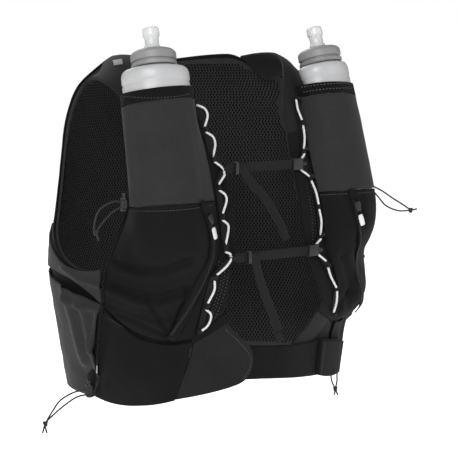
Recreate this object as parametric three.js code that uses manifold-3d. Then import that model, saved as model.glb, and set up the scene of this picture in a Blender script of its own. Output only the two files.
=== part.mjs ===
import * as THREE from 'three';
import { mergeVertices } from 'three/addons/utils/BufferGeometryUtils.js';
import Module from 'manifold-3d';

// A running hydration vest in its worn form, in millimetres. The wearer faces -Y, +X is the
// wearer's left, and the origin is on the centre line at the height of the shoulder crests.

// Driving dimensions
const chestHalfWidth = 188;
const chestHalfDepth = 134;
const vestLength = 395;
const clothThickness = 1.6;
const panelThickness = 3;
const meshThickness = 3;
const seamGap = 0.4;
const layerGap = 0.8;
const liningGap = 0.8;
const flaskWidth = 74;
const flaskDepth = 56.5;
const flaskLength = 212;
const flaskWall = 1.2;
const flaskClearance = 3.2;
const neckDiameter = 41;
const neckHeight = 13;
const capDiameter = 50;
const capHeight = 21;
const valveDiameter = 18.5;
const valveHeight = 31;
const webbingWidth = 10;
const webbingThickness = 1.5;
const laceDiameter = 2.4;
const guideWidth = 6;
const guideThickness = 0.9;
const zipWidth = 9;
const zipThickness = 1.4;
const zipLift = 1.15;
const sliderLength = 11;
const pullLength = 13;
const lockDiameter = 8.6;
const lockHeight = 15;
const buttonDiameter = 5.2;
const buttonTravel = 3;
const cordDiameter = 1.9;
const knotDiameter = 6.4;
const beltThickness = 1.8;
const tabThickness = 4.5;
const bindingThickness = 2.6;

const wasm = await Module();
wasm.setup();

// The body that the vest is cut to. Shares: down of vestLength, wide of chestHalfWidth,
// centre, front and back of chestHalfDepth; roundness is the power of the back's outline.
const bodyColumns = ['down', 'wide', 'centre', 'front', 'back', 'roundness'];
const bodyRows = [
  [-0.020, 0.186, 0.000, 0.299, 0.336, 2.00],
  [0.013, 0.404, 0.000, 0.418, 0.493, 2.00],
  [0.041, 0.532, 0.015, 0.507, 0.600, 1.95],
  [0.073, 0.697, 0.030, 0.597, 0.687, 1.85],
  [0.096, 0.782, 0.045, 0.642, 0.739, 1.75],
  [0.127, 0.835, 0.067, 0.679, 0.799, 1.70],
  [0.167, 0.867, 0.082, 0.724, 0.843, 1.75],
  [0.210, 0.883, 0.097, 0.761, 0.888, 1.90],
  [0.306, 0.899, 0.134, 0.843, 0.948, 2.15],
  [0.418, 0.920, 0.164, 0.925, 1.000, 2.30],
  [0.529, 0.963, 0.179, 0.978, 1.022, 2.30],
  [0.641, 0.995, 0.194, 1.000, 1.000, 2.30],
  [0.752, 0.968, 0.194, 1.000, 0.955, 2.30],
  [0.863, 0.926, 0.179, 0.978, 0.918, 2.30],
  [0.975, 0.878, 0.164, 0.955, 0.903, 2.30],
  [1.114, 0.851, 0.164, 0.948, 0.896, 2.30],
];
const frontRoundness = 2.3;
const pulledInRoundness = 1.75;
const pulledInFrom = 0.74;
const pulledInTo = 0.86;

// A smooth curve through one column of a table, read at a value of its first column
function readTable(rows, column, at) {
  const last = rows.length - 1;
  const value = Math.min(Math.max(at, rows[0][0]), rows[last][0]);
  let i = 0;
  while (i < last - 1 && rows[i + 1][0] < value) i += 1;
  const span = rows[i + 1][0] - rows[i][0];
  const slope = (j) => {
    const a = Math.max(j - 1, 0);
    const b = Math.min(j + 1, last);
    return (rows[b][column] - rows[a][column]) / (rows[b][0] - rows[a][0]);
  };
  const t = (value - rows[i][0]) / span;
  const start = rows[i][column];
  const rise = rows[i + 1][column] - start;
  const blend = t * t * (3 - 2 * t);
  const lead = t * (1 - t) * (1 - t) * slope(i) * span;
  const trail = t * t * (t - 1) * slope(i + 1) * span;
  return start + rise * blend + lead + trail;
}

const smooth = (from, to, value) => THREE.MathUtils.smoothstep(value, from, to);
const mix = THREE.MathUtils.lerp;
const radians = THREE.MathUtils.degToRad;
const point = (x, y, z) => new THREE.Vector3(x, y, z);

function bodyRow(z) {
  const down = -z / vestLength;
  const read = (name) => readTable(bodyRows, bodyColumns.indexOf(name), down);
  return {
    wide: read('wide') * chestHalfWidth,
    centre: -read('centre') * chestHalfDepth,
    front: read('front') * chestHalfDepth,
    back: read('back') * chestHalfDepth,
    roundness: read('roundness'),
    pull: mix(frontRoundness, pulledInRoundness, smooth(pulledInFrom, pulledInTo, down)),
  };
}

// Below 0 inside the body, above 0 outside it
function bodyValue(p) {
  const row = bodyRow(p.z);
  const forward = p.y < row.centre;
  const side = p.x > 0 ? row.pull : frontRoundness;
  const power = forward ? side : row.roundness;
  const depth = forward ? row.front : row.back;
  const across = (Math.abs(p.x) / row.wide) ** power;
  return (across + (Math.abs(p.y - row.centre) / depth) ** power) ** (1 / power) - 1;
}

function bodySlope(p) {
  const step = 0.2;
  const along = (x, y, z) => {
    const ahead = bodyValue(point(p.x + x, p.y + y, p.z + z));
    return (ahead - bodyValue(point(p.x - x, p.y - y, p.z - z))) / (2 * step);
  };
  return point(along(step, 0, 0), along(0, step, 0), along(0, 0, step));
}

// The nearest point of the body's surface, lifted off it by a height
function settle(guess, height = 0) {
  const p = guess.clone();
  for (let i = 0; i < 14; i += 1) {
    const slope = bodySlope(p);
    const reach = THREE.MathUtils.clamp(-bodyValue(p) / slope.lengthSq(), -9000, 9000);
    p.addScaledVector(slope, reach);
  }
  return p.addScaledVector(bodySlope(p).normalize(), height);
}

// A place of the chest, from its distance off the centre line and its height
function onFront(x, z, height = 0) {
  const row = bodyRow(z);
  const power = x > 0 ? row.pull : frontRoundness;
  const inside = Math.max(1 - (Math.abs(x) / row.wide) ** power, 0.002);
  return settle(point(x, row.centre - row.front * inside ** (1 / power), z), height);
}

// A place round the body, from the turn in degrees off straight ahead and its height
function onSide(sign, turn, z, height = 0) {
  const row = bodyRow(z);
  const angle = radians(turn);
  const forward = Math.cos(angle) > 0;
  const power = forward ? (sign > 0 ? row.pull : frontRoundness) : row.roundness;
  const depth = forward ? row.front : row.back;
  const wide = (Math.sin(angle) / row.wide) ** power;
  const reach = (wide + (Math.abs(Math.cos(angle)) / depth) ** power) ** (-1 / power);
  const x = sign * reach * Math.sin(angle);
  const base = point(x, row.centre - reach * Math.cos(angle), z);
  return base.addScaledVector(bodySlope(base).normalize(), height);
}

function geometryFrom(corners, triangles) {
  const geometry = new THREE.BufferGeometry();
  const flat = corners.flatMap((p) => [p.x, p.y, p.z]);
  geometry.setAttribute('position', new THREE.Float32BufferAttribute(flat, 3));
  let volume = 0;
  for (const [a, b, c] of triangles) {
    volume += corners[a].dot(point(0, 0, 0).crossVectors(corners[b], corners[c]));
  }
  const order = volume < 0 ? triangles.map(([a, b, c]) => [a, c, b]) : triangles;
  geometry.setIndex(order.flat());
  geometry.computeVertexNormals();
  return geometry;
}

// A closed wall between two sheets of points with the same rows and columns
function wallBetween(outer, inner) {
  const rows = outer.length;
  const cols = outer[0].length;
  const corners = [...outer.flat(), ...inner.flat()];
  const at = (layer, i, j) => layer * rows * cols + i * cols + j;
  const triangles = [];
  const quad = (a, b, c, d) => triangles.push([a, b, c], [a, c, d]);
  for (let i = 0; i + 1 < rows; i += 1) {
    for (let j = 0; j + 1 < cols; j += 1) {
      const falling = outer[i][j].distanceTo(outer[i + 1][j + 1]);
      const rising = outer[i][j + 1].distanceTo(outer[i + 1][j]);
      const round = [[i, j], [i, j + 1], [i + 1, j + 1], [i + 1, j]];
      if (rising < falling) round.push(round.shift());
      quad(...round.map(([a, b]) => at(0, a, b)));
      quad(...[round[0], round[3], round[2], round[1]].map(([a, b]) => at(1, a, b)));
    }
  }
  const end = { row: rows - 1, col: cols - 1 };
  for (let j = 0; j < end.col; j += 1) {
    quad(at(0, 0, j + 1), at(0, 0, j), at(1, 0, j), at(1, 0, j + 1));
    quad(at(0, end.row, j), at(0, end.row, j + 1), at(1, end.row, j + 1), at(1, end.row, j));
  }
  for (let i = 0; i < end.row; i += 1) {
    quad(at(0, i, 0), at(0, i + 1, 0), at(1, i + 1, 0), at(1, i, 0));
    quad(at(0, i + 1, end.col), at(0, i, end.col), at(1, i, end.col), at(1, i + 1, end.col));
  }
  return geometryFrom(corners, triangles);
}

function sheet(rows, cols, place) {
  const grid = [];
  for (let i = 0; i <= rows; i += 1) {
    const line = [];
    for (let j = 0; j <= cols; j += 1) line.push(place(j / cols, i / rows));
    grid.push(line);
  }
  return grid;
}

// A cloth panel between two edges, wrapped on the body between two heights
function bodyPanel(rows, cols, guide, innerHeight, outerHeight) {
  const lift = (height) => (u, v) => settle(guide(u, v), height(u, v));
  return wallBetween(sheet(rows, cols, lift(outerHeight)), sheet(rows, cols, lift(innerHeight)));
}

function asSolid(geometry) {
  const bare = geometry.clone();
  bare.deleteAttribute('normal');
  bare.deleteAttribute('uv');
  const merged = mergeVertices(bare, 1e-4);
  return new wasm.Manifold(new wasm.Mesh({
    numProp: 3,
    vertProperties: new Float32Array(merged.attributes.position.array),
    triVerts: new Uint32Array(merged.index.array),
  }));
}

function fromSolid(solid) {
  const mesh = solid.getMesh();
  const geometry = new THREE.BufferGeometry();
  const places = new Float32Array(mesh.vertProperties);
  geometry.setAttribute('position', new THREE.BufferAttribute(places, 3));
  geometry.setIndex([...mesh.triVerts]);
  geometry.computeVertexNormals();
  return geometry;
}

const joined = (bodies) => fromSolid(bodies.map(asSolid).reduce((sum, next) => sum.add(next)));

// A closed body through rings of places; a looped one joins its last ring to its first
function stack(rings, looped = false) {
  const count = rings[0].length;
  const at = (i, j) => (i % rings.length) * count + (j % count);
  const triangles = [];
  const last = looped ? rings.length : rings.length - 1;
  for (let i = 0; i < last; i += 1) {
    for (let j = 0; j < count; j += 1) {
      triangles.push([at(i, j), at(i, j + 1), at(i + 1, j + 1)]);
      triangles.push([at(i, j), at(i + 1, j + 1), at(i + 1, j)]);
    }
  }
  for (let j = 1; j + 1 < count && !looped; j += 1) {
    triangles.push([at(0, 0), at(0, j + 1), at(0, j)]);
    triangles.push([at(last, 0), at(last, j), at(last, j + 1)]);
  }
  return geometryFrom(rings.flat(), triangles);
}

// A round body from pairs of radius and height
function revolve(profile, segments, looped = false) {
  return stack(profile.map(([radius, height]) => {
    const ring = [];
    for (let j = 0; j < segments; j += 1) {
      const angle = (2 * Math.PI * j) / segments;
      ring.push(point(radius * Math.cos(angle), radius * Math.sin(angle), height));
    }
    return ring;
  }), looped);
}

// Along, across and outward directions at each of a row of places
function walk(places, facing) {
  return places.map((spot, i) => {
    const next = places[Math.min(i + 1, places.length - 1)];
    const along = next.clone().sub(places[Math.max(i - 1, 0)]).normalize();
    const across = point(0, 0, 0).crossVectors(along, facing(spot)).normalize();
    const out = point(0, 0, 0).crossVectors(across, along).normalize();
    return { spot, along, across, out };
  });
}

const shifted = (spot, ...moves) => moves.reduce((sum, [way, by]) => (
  sum.addScaledVector(way, by)), spot.clone());

function pipe(places, radius, segments, facing) {
  return stack(walk(places, facing).map(({ spot, across, out }) => {
    const ring = [];
    for (let j = 0; j < segments; j += 1) {
      const angle = (2 * Math.PI * (j + 0.5)) / segments;
      const [side, up] = [radius * Math.cos(angle), radius * Math.sin(angle)];
      ring.push(shifted(spot, [across, side], [out, up]));
    }
    return ring;
  }));
}

function ribbon(places, width, thickness, facing) {
  const layer = (height) => walk(places, facing).map(({ spot, across, out }) => [
    shifted(spot, [across, -width / 2], [out, height]),
    shifted(spot, [across, width / 2], [out, height]),
  ]);
  return wallBetween(layer(thickness), layer(0));
}

// A flat outline of pairs, given a thickness towards +Z
function slab(outline, thickness) {
  const ring = (z) => outline.map(([x, y]) => point(x, y, z));
  const shape = new THREE.Shape(outline.map(([x, y]) => new THREE.Vector2(x, y)));
  const faces = THREE.ShapeUtils.triangulateShape(shape.getPoints(), []);
  const count = outline.length;
  const triangles = faces.map(([a, b, c]) => [a + count, b + count, c + count]);
  faces.forEach(([a, b, c]) => triangles.push([a, c, b]));
  for (let i = 0; i < count; i += 1) {
    const next = (i + 1) % count;
    triangles.push([i, next, next + count], [i, next + count, i + count]);
  }
  return geometryFrom([...ring(0), ...ring(thickness)], triangles);
}

// Moves a body so that its X, Y and Z point across, along and out at a place
function seat(geometry, { spot, across, along, out }) {
  const basis = new THREE.Matrix4().makeBasis(across, along, out).setPosition(spot);
  return geometry.applyMatrix4(basis);
}

const vest = new THREE.Group();

function place(name, geometry, look, parent = vest) {
  const mesh = new THREE.Mesh(geometry, look);
  mesh.name = name;
  parent.add(mesh);
  return mesh;
}

function material(color, roughness, metalness = 0) {
  return new THREE.MeshStandardMaterial({ color, roughness, metalness });
}

const stretchCloth = material(0x232426, 0.85);
const blackCloth = material(0x151517, 0.9);
const elasticCloth = material(0x121214, 0.92);
const meshCloth = material(0x1b1b1d, 0.95);
const webbing = material(0x1d1d20, 0.8);
const hardPlastic = material(0x1a1a1c, 0.45);
const capPlastic = material(0xa9abae, 0.5);
const clearPlastic = material(0xdfe2e4, 0.25);
const reflective = material(0xe6e6e6, 0.4);
const cordCloth = material(0x3a3b3d, 0.7);

// The wearer's sides, with the column that each uses in the tables below
const sides = [{ name: 'r', sign: -1, column: 1 }, { name: 'l', sign: 1, column: 2 }];

// Front edge: down, then its distance off the centre line on the right and on the left
const frontEdgeRows = [
  [0.258, 0.324, 0.229],
  [0.316, 0.303, 0.213],
  [0.380, 0.261, 0.213],
  [0.456, 0.261, 0.223],
  [0.532, 0.266, 0.218],
  [0.608, 0.303, 0.245],
  [0.671, 0.330, 0.335],
  [0.729, 0.346, 0.346],
  [0.760, 0.431, 0.431],
  [0.788, 0.519, 0.519],
  [0.823, 0.521, 0.521],
  [0.855, 0.536, 0.536],
  [0.890, 0.553, 0.553],
  [0.935, 0.572, 0.572],
  [0.982, 0.590, 0.590],
];

// Front edge of the arm hole: down, then its distance off the centre line
const armEdgeRows = [
  [0.127, 0.745],
  [0.172, 0.739],
  [0.215, 0.739],
  [0.258, 0.739],
  [0.316, 0.750],
  [0.380, 0.782],
  [0.456, 0.824],
  [0.532, 0.872],
  [0.608, 0.923],
];

// Side seam under the arm hole: down, then the turn off straight ahead in degrees
const sideSeamRows = [
  [0.610, 70.5],
  [0.716, 71.8],
  [0.820, 75.7],
  [0.909, 78.5],
  [0.990, 81.5],
];

// Lace loops: down, then their distance off the centre line on the right and on the left,
// and how far the lace bows towards the opening before the next loop, of webbingWidth
const laceRows = [
  [0.167, 0.372, 0.351, 0.80, 0.10],
  [0.228, 0.346, 0.362, 0.60, -0.15],
  [0.306, 0.335, 0.319, 0.05, 0.00],
  [0.347, 0.287, 0.266, 0.05, 0.00],
  [0.382, 0.335, 0.319, 0.50, 0.05],
  [0.461, 0.335, 0.356, 0.45, -0.15],
  [0.545, 0.335, 0.346, 0.10, 0.00],
  [0.584, 0.306, 0.303, 0.00, 0.00],
  [0.633, 0.425, 0.383, 0.20, 0.10],
  [0.706, 0.463, 0.468, 0.70, 0.15],
  [0.777, 0.489, 0.463, 0.00, 0.00],
];
const upperStrapLoop = 3;
const lowerStrapLoop = 7;

const down = (share) => -share * vestLength;
const frontEdge = (side, z) => readTable(frontEdgeRows, side.column, -z / vestLength) * chestHalfWidth;
const armEdge = (z) => readTable(armEdgeRows, 1, -z / vestLength) * chestHalfWidth;
const sideSeam = (z) => readTable(sideSeamRows, 1, -z / vestLength);
const laceLine = (side, z) => readTable(laceRows, side.column, -z / vestLength) * chestHalfWidth;

// Flask seats: two places of the axis, as shares across, forward and down
const flaskSeat = {
  low: { across: 0.649, forward: 1.000, down: 0.456 },
  high: { across: 0.601, forward: 0.672, down: 0.051 },
};
const flaskTurn = 25;
const flaskNeckDown = 0.068;

// Flask outline: along it from the neck to the foot, then width, front and back as shares
const flaskRows = [
  [0.000, 0.56, 0.70, 0.70],
  [0.016, 0.84, 0.88, 0.80],
  [0.038, 0.97, 0.97, 0.80],
  [0.062, 1.00, 1.00, 0.75],
  [0.100, 0.98, 0.98, 0.66],
  [0.200, 0.99, 0.99, 0.60],
  [0.550, 1.00, 1.00, 0.60],
  [0.760, 0.99, 0.93, 0.60],
  [0.880, 0.94, 0.70, 0.50],
  [0.960, 0.80, 0.36, 0.36],
  [1.000, 0.66, 0.12, 0.12],
];

function flaskFrame(side) {
  const spot = ({ across, forward, down: share }) => point(
    side.sign * across * chestHalfWidth, -forward * chestHalfDepth, down(share));
  const low = spot(flaskSeat.low);
  const axis = spot(flaskSeat.high).sub(low).normalize();
  const neck = low.clone().addScaledVector(axis, (down(flaskNeckDown) - low.z) / axis.z);
  const out = radians(flaskTurn);
  const facing = point(side.sign * Math.sin(out), -Math.cos(out), 0);
  const front = facing.addScaledVector(axis, -facing.dot(axis)).normalize();
  const wide = new THREE.Vector3().crossVectors(front, axis).normalize();
  return { neck, axis, front, wide };
}

// How far the straps give way under the flasks: down, then depth of chestHalfDepth
const dentRows = [
  [0.050, 0.000],
  [0.100, 0.100],
  [0.150, 0.125],
  [0.200, 0.130],
  [0.340, 0.130],
  [0.480, 0.120],
  [0.560, 0.080],
  [0.640, 0.000],
];
const dentStart = 0.15;
const dentRim = 0.45;
const dent = (u, z) => {
  const depth = readTable(dentRows, 1, -z / vestLength) * chestHalfDepth;
  return depth * smooth(dentStart, 0.6, u) * (1 - dentRim * smooth(0.6, 1, u));
};

// Yoke stations from the back seam to the chest. Shares: inner edge on the right and left
// across, inner edge forward and down, then outer edge across, forward and down
const yokeRows = [
  [0.00, 0.479, 0.479, -0.313, 0.056, 0.670, -0.269, 0.114],
  [0.17, 0.516, 0.516, -0.100, 0.041, 0.729, -0.060, 0.094],
  [0.31, 0.516, 0.500, 0.150, 0.041, 0.766, 0.112, 0.089],
  [0.44, 0.479, 0.452, 0.313, 0.053, 0.771, 0.299, 0.099],
  [0.58, 0.415, 0.362, 0.537, 0.089, 0.761, 0.433, 0.127],
  [0.72, 0.372, 0.271, 0.731, 0.139, 0.745, 0.552, 0.172],
  [0.86, 0.335, 0.239, 0.866, 0.215, 0.739, 0.612, 0.215],
  [1.00, 0.324, 0.229, 0.910, 0.257, 0.739, 0.649, 0.257],
];

const yokeEnd = 0.256;

function chestGuide(side, z, u) {
  const inner = onFront(side.sign * frontEdge(side, z), z);
  const outer = z > down(0.609)
    ? onFront(side.sign * armEdge(z), z)
    : onSide(side.sign, sideSeam(z) - 0.1, z);
  return inner.lerp(outer, u);
}

function makeYoke(side) {
  const edge = (t, columns) => {
    const [across, forward, share] = columns.map((column) => readTable(yokeRows, column, t));
    return point(side.sign * across * chestHalfWidth, -forward * chestHalfDepth, down(share));
  };
  const guide = (u, v) => {
    if (v === 1) return chestGuide(side, down(yokeEnd), u);
    return edge(v, [side.column, 3, 4]).lerp(edge(v, [5, 6, 7]), u);
  };
  const low = (u, v) => -dent(u, guide(u, v).z);
  const high = (u, v) => panelThickness + low(u, v);
  return bodyPanel(9, 4, guide, low, high);
}

const hemLine = (u) => down(mix(0.977, 0.988, u) + 0.014 * Math.sin(Math.PI * u));

function makeChestPanel(side) {
  const levels = frontEdgeRows.map((row) => row[0]);
  const guide = (u, v) => {
    const i = Math.round(v * (levels.length - 1));
    return chestGuide(side, i === levels.length - 1 ? hemLine(u) : down(levels[i]), u);
  };
  const low = (u, v) => -dent(u, guide(u, v).z);
  const high = (u, v) => panelThickness + low(u, v);
  return bodyPanel(levels.length - 1, 7, guide, low, high);
}

// Back: share along it, down at the centre, then down and turn at the edge
const backRows = [
  [0.000, 0.047, 0.117, 109.5],
  [0.080, 0.120, 0.150, 108],
  [0.160, 0.195, 0.200, 107],
  [0.270, 0.300, 0.295, 105.5],
  [0.400, 0.415, 0.412, 105],
  [0.530, 0.545, 0.515, 105],
  [0.590, 0.598, 0.553, 102],
  [0.640, 0.645, 0.598, 94],
  [0.690, 0.690, 0.622, 82],
  [0.740, 0.735, 0.618, 71.2],
  [0.830, 0.830, 0.790, 75.0],
  [0.910, 0.910, 0.890, 78.4],
  [1.000, 0.995, 0.990, 81.9],
];
const backColumns = 16;

function backGuide(u, v) {
  const row = Math.round(v * (backRows.length - 1));
  const [, centre, edge, edgeTurn] = backRows[row];
  const across = Math.abs(2 * u - 1);
  const fall = row === 0 ? smooth(0.86, 1, across) : smooth(0.25, 1, across);
  const sign = u < 0.5 ? -1 : 1;
  return { sign, turn: mix(180, edgeTurn, across), z: down(mix(centre, edge, fall)) };
}

function backSheet(height, inset) {
  const rows = backRows.length - 1;
  const full = sheet(rows, backColumns, (u, v) => {
    const { sign, turn, z } = backGuide(u, v);
    return onSide(sign, turn, z, height);
  });
  const pull = (from, to) => from.clone().lerp(to, inset);
  const trimmed = full.map((line) => line.map((p, j) => {
    if (j === 0) return pull(p, line[1]);
    return j === backColumns ? pull(p, line[j - 1]) : p;
  }));
  return trimmed.map((line, i) => {
    if (i === 0) return line.map((p, j) => pull(p, trimmed[1][j]));
    return i === rows ? line.map((p, j) => pull(p, trimmed[i - 1][j])) : line;
  });
}

const liningInset = 0.08;
const shellHeight = meshThickness + liningGap;
const shellTop = shellHeight + clothThickness;
place('back_shell', wallBetween(backSheet(shellTop, 0), backSheet(shellHeight, 0)), blackCloth);
place('mesh_lining', wallBetween(backSheet(meshThickness, liningInset), backSheet(0, liningInset)), meshCloth);

// Pockets down the chest. Down at the lace and at the arm hole, the slope of the section,
// how far the pocket stands out below the flask, then its lace side on the right and left
const pouchRows = [
  [0.134, 0.142, 0.20, 0.000, 0.407, 0.386],
  [0.165, 0.173, 0.20, 0.000, 0.407, 0.386],
  [0.228, 0.234, 0.20, 0.000, 0.383, 0.390],
  [0.329, 0.330, 0.17, 0.020, 0.370, 0.364],
  [0.433, 0.433, 0.14, 0.030, 0.370, 0.378],
  [0.484, 0.478, 0.10, 0.040, 0.370, 0.392],
  [0.534, 0.522, 0.06, 0.060, 0.370, 0.388],
  [0.584, 0.565, 0.02, 0.110, 0.386, 0.384],
  [0.630, 0.604, 0.00, 0.070, 0.446, 0.440],
  [0.680, 0.645, 0.00, 0.020, 0.472, 0.472],
  [0.725, 0.672, 0.00, 0.060, 0.498, 0.508],
  [0.767, 0.694, 0.00, 0.070, 0.514, 0.514],
  [0.793, 0.712, 0.00, 0.024, 0.524, 0.520],
];
const hemRow = 1;
const seamRow = 4;
const pouchSag = 0.02;
const armMargin = 2.5;
const sectionPoints = 26;

function flaskSize(along) {
  const share = THREE.MathUtils.clamp(along / flaskLength, 0, 1);
  const read = (column) => readTable(flaskRows, column, share);
  return {
    width: (read(1) * flaskWidth) / 2,
    front: (read(2) * flaskDepth) / 2,
    back: (read(3) * flaskDepth) / 2,
  };
}

// A place round a flask, at a distance along it and an angle, grown by a clearance
function flaskPlace(side, along, angle, grown) {
  const { neck, axis, front, wide } = flaskFrame(side);
  const size = flaskSize(along);
  const [across, ahead] = [Math.cos(angle), Math.sin(angle)];
  const depth = ahead > 0 ? size.front : size.back;
  const moves = [[axis, -along], [wide, across * (size.width + grown)]];
  return shifted(neck, ...moves, [front, ahead * (depth + grown)]);
}

// The outward side of the tight cloth round a set of places in plan, from start to end
function wrapRound(places, start, end) {
  const order = [...places].sort((a, b) => a.x - b.x || a.y - b.y);
  const turn = (o, a, b) => (a.x - o.x) * (b.y - o.y) - (a.y - o.y) * (b.x - o.x);
  const half = (list) => {
    const chain = [];
    for (const p of list) {
      while (chain.length > 1 && turn(chain.at(-2), chain.at(-1), p) <= 0) chain.pop();
      chain.push(p);
    }
    return chain.slice(0, -1);
  };
  const ring = [...half(order), ...half([...order].reverse())];
  const nearest = (p) => ring.reduce((best, q, i) => (
    q.distanceTo(p) < ring[best].distanceTo(p) ? i : best), 0);
  const [a, b] = [nearest(start), nearest(end)];
  const walk = (step) => {
    const path = [ring[a]];
    for (let i = a; i !== b;) {
      i = (i + step + ring.length) % ring.length;
      path.push(ring[i]);
    }
    return path;
  };
  const reach = (path) => path.reduce((sum, p) => sum - p.y, 0) / path.length;
  const paths = [walk(1), walk(-1)];
  return reach(paths[0]) > reach(paths[1]) ? paths[0] : paths[1];
}

function evenly(path, count) {
  const lengths = [0];
  for (let i = 1; i < path.length; i += 1) {
    lengths.push(lengths[i - 1] + path[i].distanceTo(path[i - 1]));
  }
  const places = [];
  for (let j = 0; j <= count; j += 1) {
    const target = (lengths.at(-1) * j) / count;
    let i = 1;
    while (i < path.length - 1 && lengths[i] < target) i += 1;
    const share = (target - lengths[i - 1]) / (lengths[i] - lengths[i - 1]);
    places.push(path[i - 1].clone().lerp(path[i], share));
  }
  return places;
}

// One section of a chest pocket, as places on its outer face from the lace to the arm hole
function pouchSection(side, level, columns, lift) {
  const read = (column) => readTable(pouchRows.map((row, i) => [i, ...row]), column + 1, level);
  const [slope, bulge] = [read(2), read(3)];
  const sag = pouchSag * smooth(10, 12, level);
  const height = (u) => down(mix(read(0), read(1), u ** 1.5) + sag * Math.sin(Math.PI * u));
  const start = onFront(side.sign * read(3 + side.column) * chestHalfWidth, height(0));
  const low = height(1);
  const end = low > down(0.609)
    ? onFront(side.sign * (armEdge(Math.min(low, down(0.127))) - armMargin), low)
    : onSide(side.sign, sideSeam(low) - 1.2, low);
  const baseY = (start.y + end.y) / 2;
  const base = [];
  for (let i = 0; i <= sectionPoints; i += 1) {
    const u = i / sectionPoints;
    const swell = bulge * chestHalfDepth * Math.sin(Math.PI * u) ** 0.8;
    const guess = start.clone().lerp(end, u).setZ(height(u));
    const strap = THREE.MathUtils.clamp(
      (Math.abs(guess.x) - frontEdge(side, guess.z)) / (armEdge(guess.z) - frontEdge(side, guess.z)), 0, 1);
    base.push(settle(guess, lift + swell - dent(strap, guess.z)));
  }
  const { neck, axis } = flaskFrame(side);
  const flask = [];
  for (let i = 0; i < sectionPoints; i += 1) {
    let p = point(0, baseY, height(0.5));
    for (let pass = 0; pass < 3; pass += 1) {
      const along = (neck.z - height(0.5) - slope * (baseY - p.y)) / axis.z;
      if (along > flaskLength) return finish(base);
      const angle = (2 * Math.PI * i) / sectionPoints;
      p = flaskPlace(side, along, angle, flaskClearance + clothThickness);
    }
    flask.push(p);
  }
  return finish([...base, ...flask]);

  function finish(places) {
    const path = evenly(wrapRound(places, places[0], places[sectionPoints]), columns);
    if (places === base) return path;
    return path.map((p, j) => p.setZ(height(j / columns) + slope * (baseY - p.y)));
  }
}

const pouchColumns = 12;

const pouchLift = panelThickness + layerGap + clothThickness;

function pouchWall(side, levels) {
  const outer = levels.map((level) => pouchSection(side, level, pouchColumns, pouchLift));
  const inner = outer.map((line) => line.map((p, j) => {
    const ahead = line[Math.min(j + 1, pouchColumns)].clone().sub(line[Math.max(j - 1, 0)]);
    const inward = point(-ahead.y, ahead.x, 0).normalize().multiplyScalar(side.sign);
    return p.clone().addScaledVector(inward, clothThickness);
  }));
  return wallBetween(outer, inner);
}

// A place on a chest pocket's outer face, from its level and its share from lace to arm hole
function pouchSpot(side, level, u) {
  const line = pouchSection(side, level, pouchColumns, pouchLift);
  const at = Math.min(Math.floor(u * pouchColumns), pouchColumns - 1);
  return line[at].clone().lerp(line[at + 1], u * pouchColumns - at);
}

function pouchFacing(side, level, u) {
  const across = pouchSpot(side, level, u + 0.05).sub(pouchSpot(side, level, u - 0.05));
  const along = pouchSpot(side, level + 0.1, u).sub(pouchSpot(side, level - 0.1, u));
  return across.cross(along).normalize().multiplyScalar(-side.sign);
}

const span = (from, to, count) => Array.from({ length: count + 1 }, (_, i) => mix(from, to, i / count));
const rowGap = 0.03;

for (const side of sides) {
  place(`yoke_${side.name}`, makeYoke(side), stretchCloth);
  place(`chest_panel_${side.name}`, makeChestPanel(side), blackCloth);
  place(`flask_hem_${side.name}`, pouchWall(side, [0, hemRow]), elasticCloth);
  place(`flask_pocket_${side.name}`, pouchWall(side, span(hemRow + rowGap, seamRow, 4)), stretchCloth);
  const zipLevels = [seamRow + rowGap, 5, 6, 7, 8, 9, 10, 11, 12];
  place(`zip_pocket_${side.name}`, pouchWall(side, zipLevels), blackCloth);
}

// Soft flasks: hollow, open at the neck, with a screwed cap and a bite valve
const flaskSteps = [1, 0.96, 0.88, 0.76, 0.55, 0.2, 0.1, 0.062, 0.038, 0.016, 0];
const flaskSides = 12;
const boreSteps = [1, 0.88, 0.55, 0.1, 0.038, 0];

function makeFlask(side) {
  const ring = (along, grown) => {
    const places = [];
    for (let j = 0; j < flaskSides; j += 1) {
      places.push(flaskPlace(side, along, (2 * Math.PI * j) / flaskSides, grown));
    }
    return places;
  };
  const { neck, axis, front, wide } = flaskFrame(side);
  const neckRing = (height, radius) => {
    const places = [];
    for (let j = 0; j < flaskSides; j += 1) {
      const angle = (2 * Math.PI * j) / flaskSides;
      const moves = [[wide, radius * Math.cos(angle)], [front, radius * Math.sin(angle)]];
      places.push(shifted(neck, [axis, height], ...moves));
    }
    return places;
  };
  const outer = flaskSteps.map((share) => ring(share * flaskLength, 0));
  outer.push(neckRing(1, neckDiameter / 2), neckRing(neckHeight, neckDiameter / 2));
  const inner = boreSteps.map((share) => ring(share * flaskLength - flaskWall * share, -flaskWall));
  inner.push(neckRing(1, neckDiameter / 2 - 3), neckRing(neckHeight, neckDiameter / 2 - 3));
  return stack([...outer, ...inner.reverse()]);
}

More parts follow.
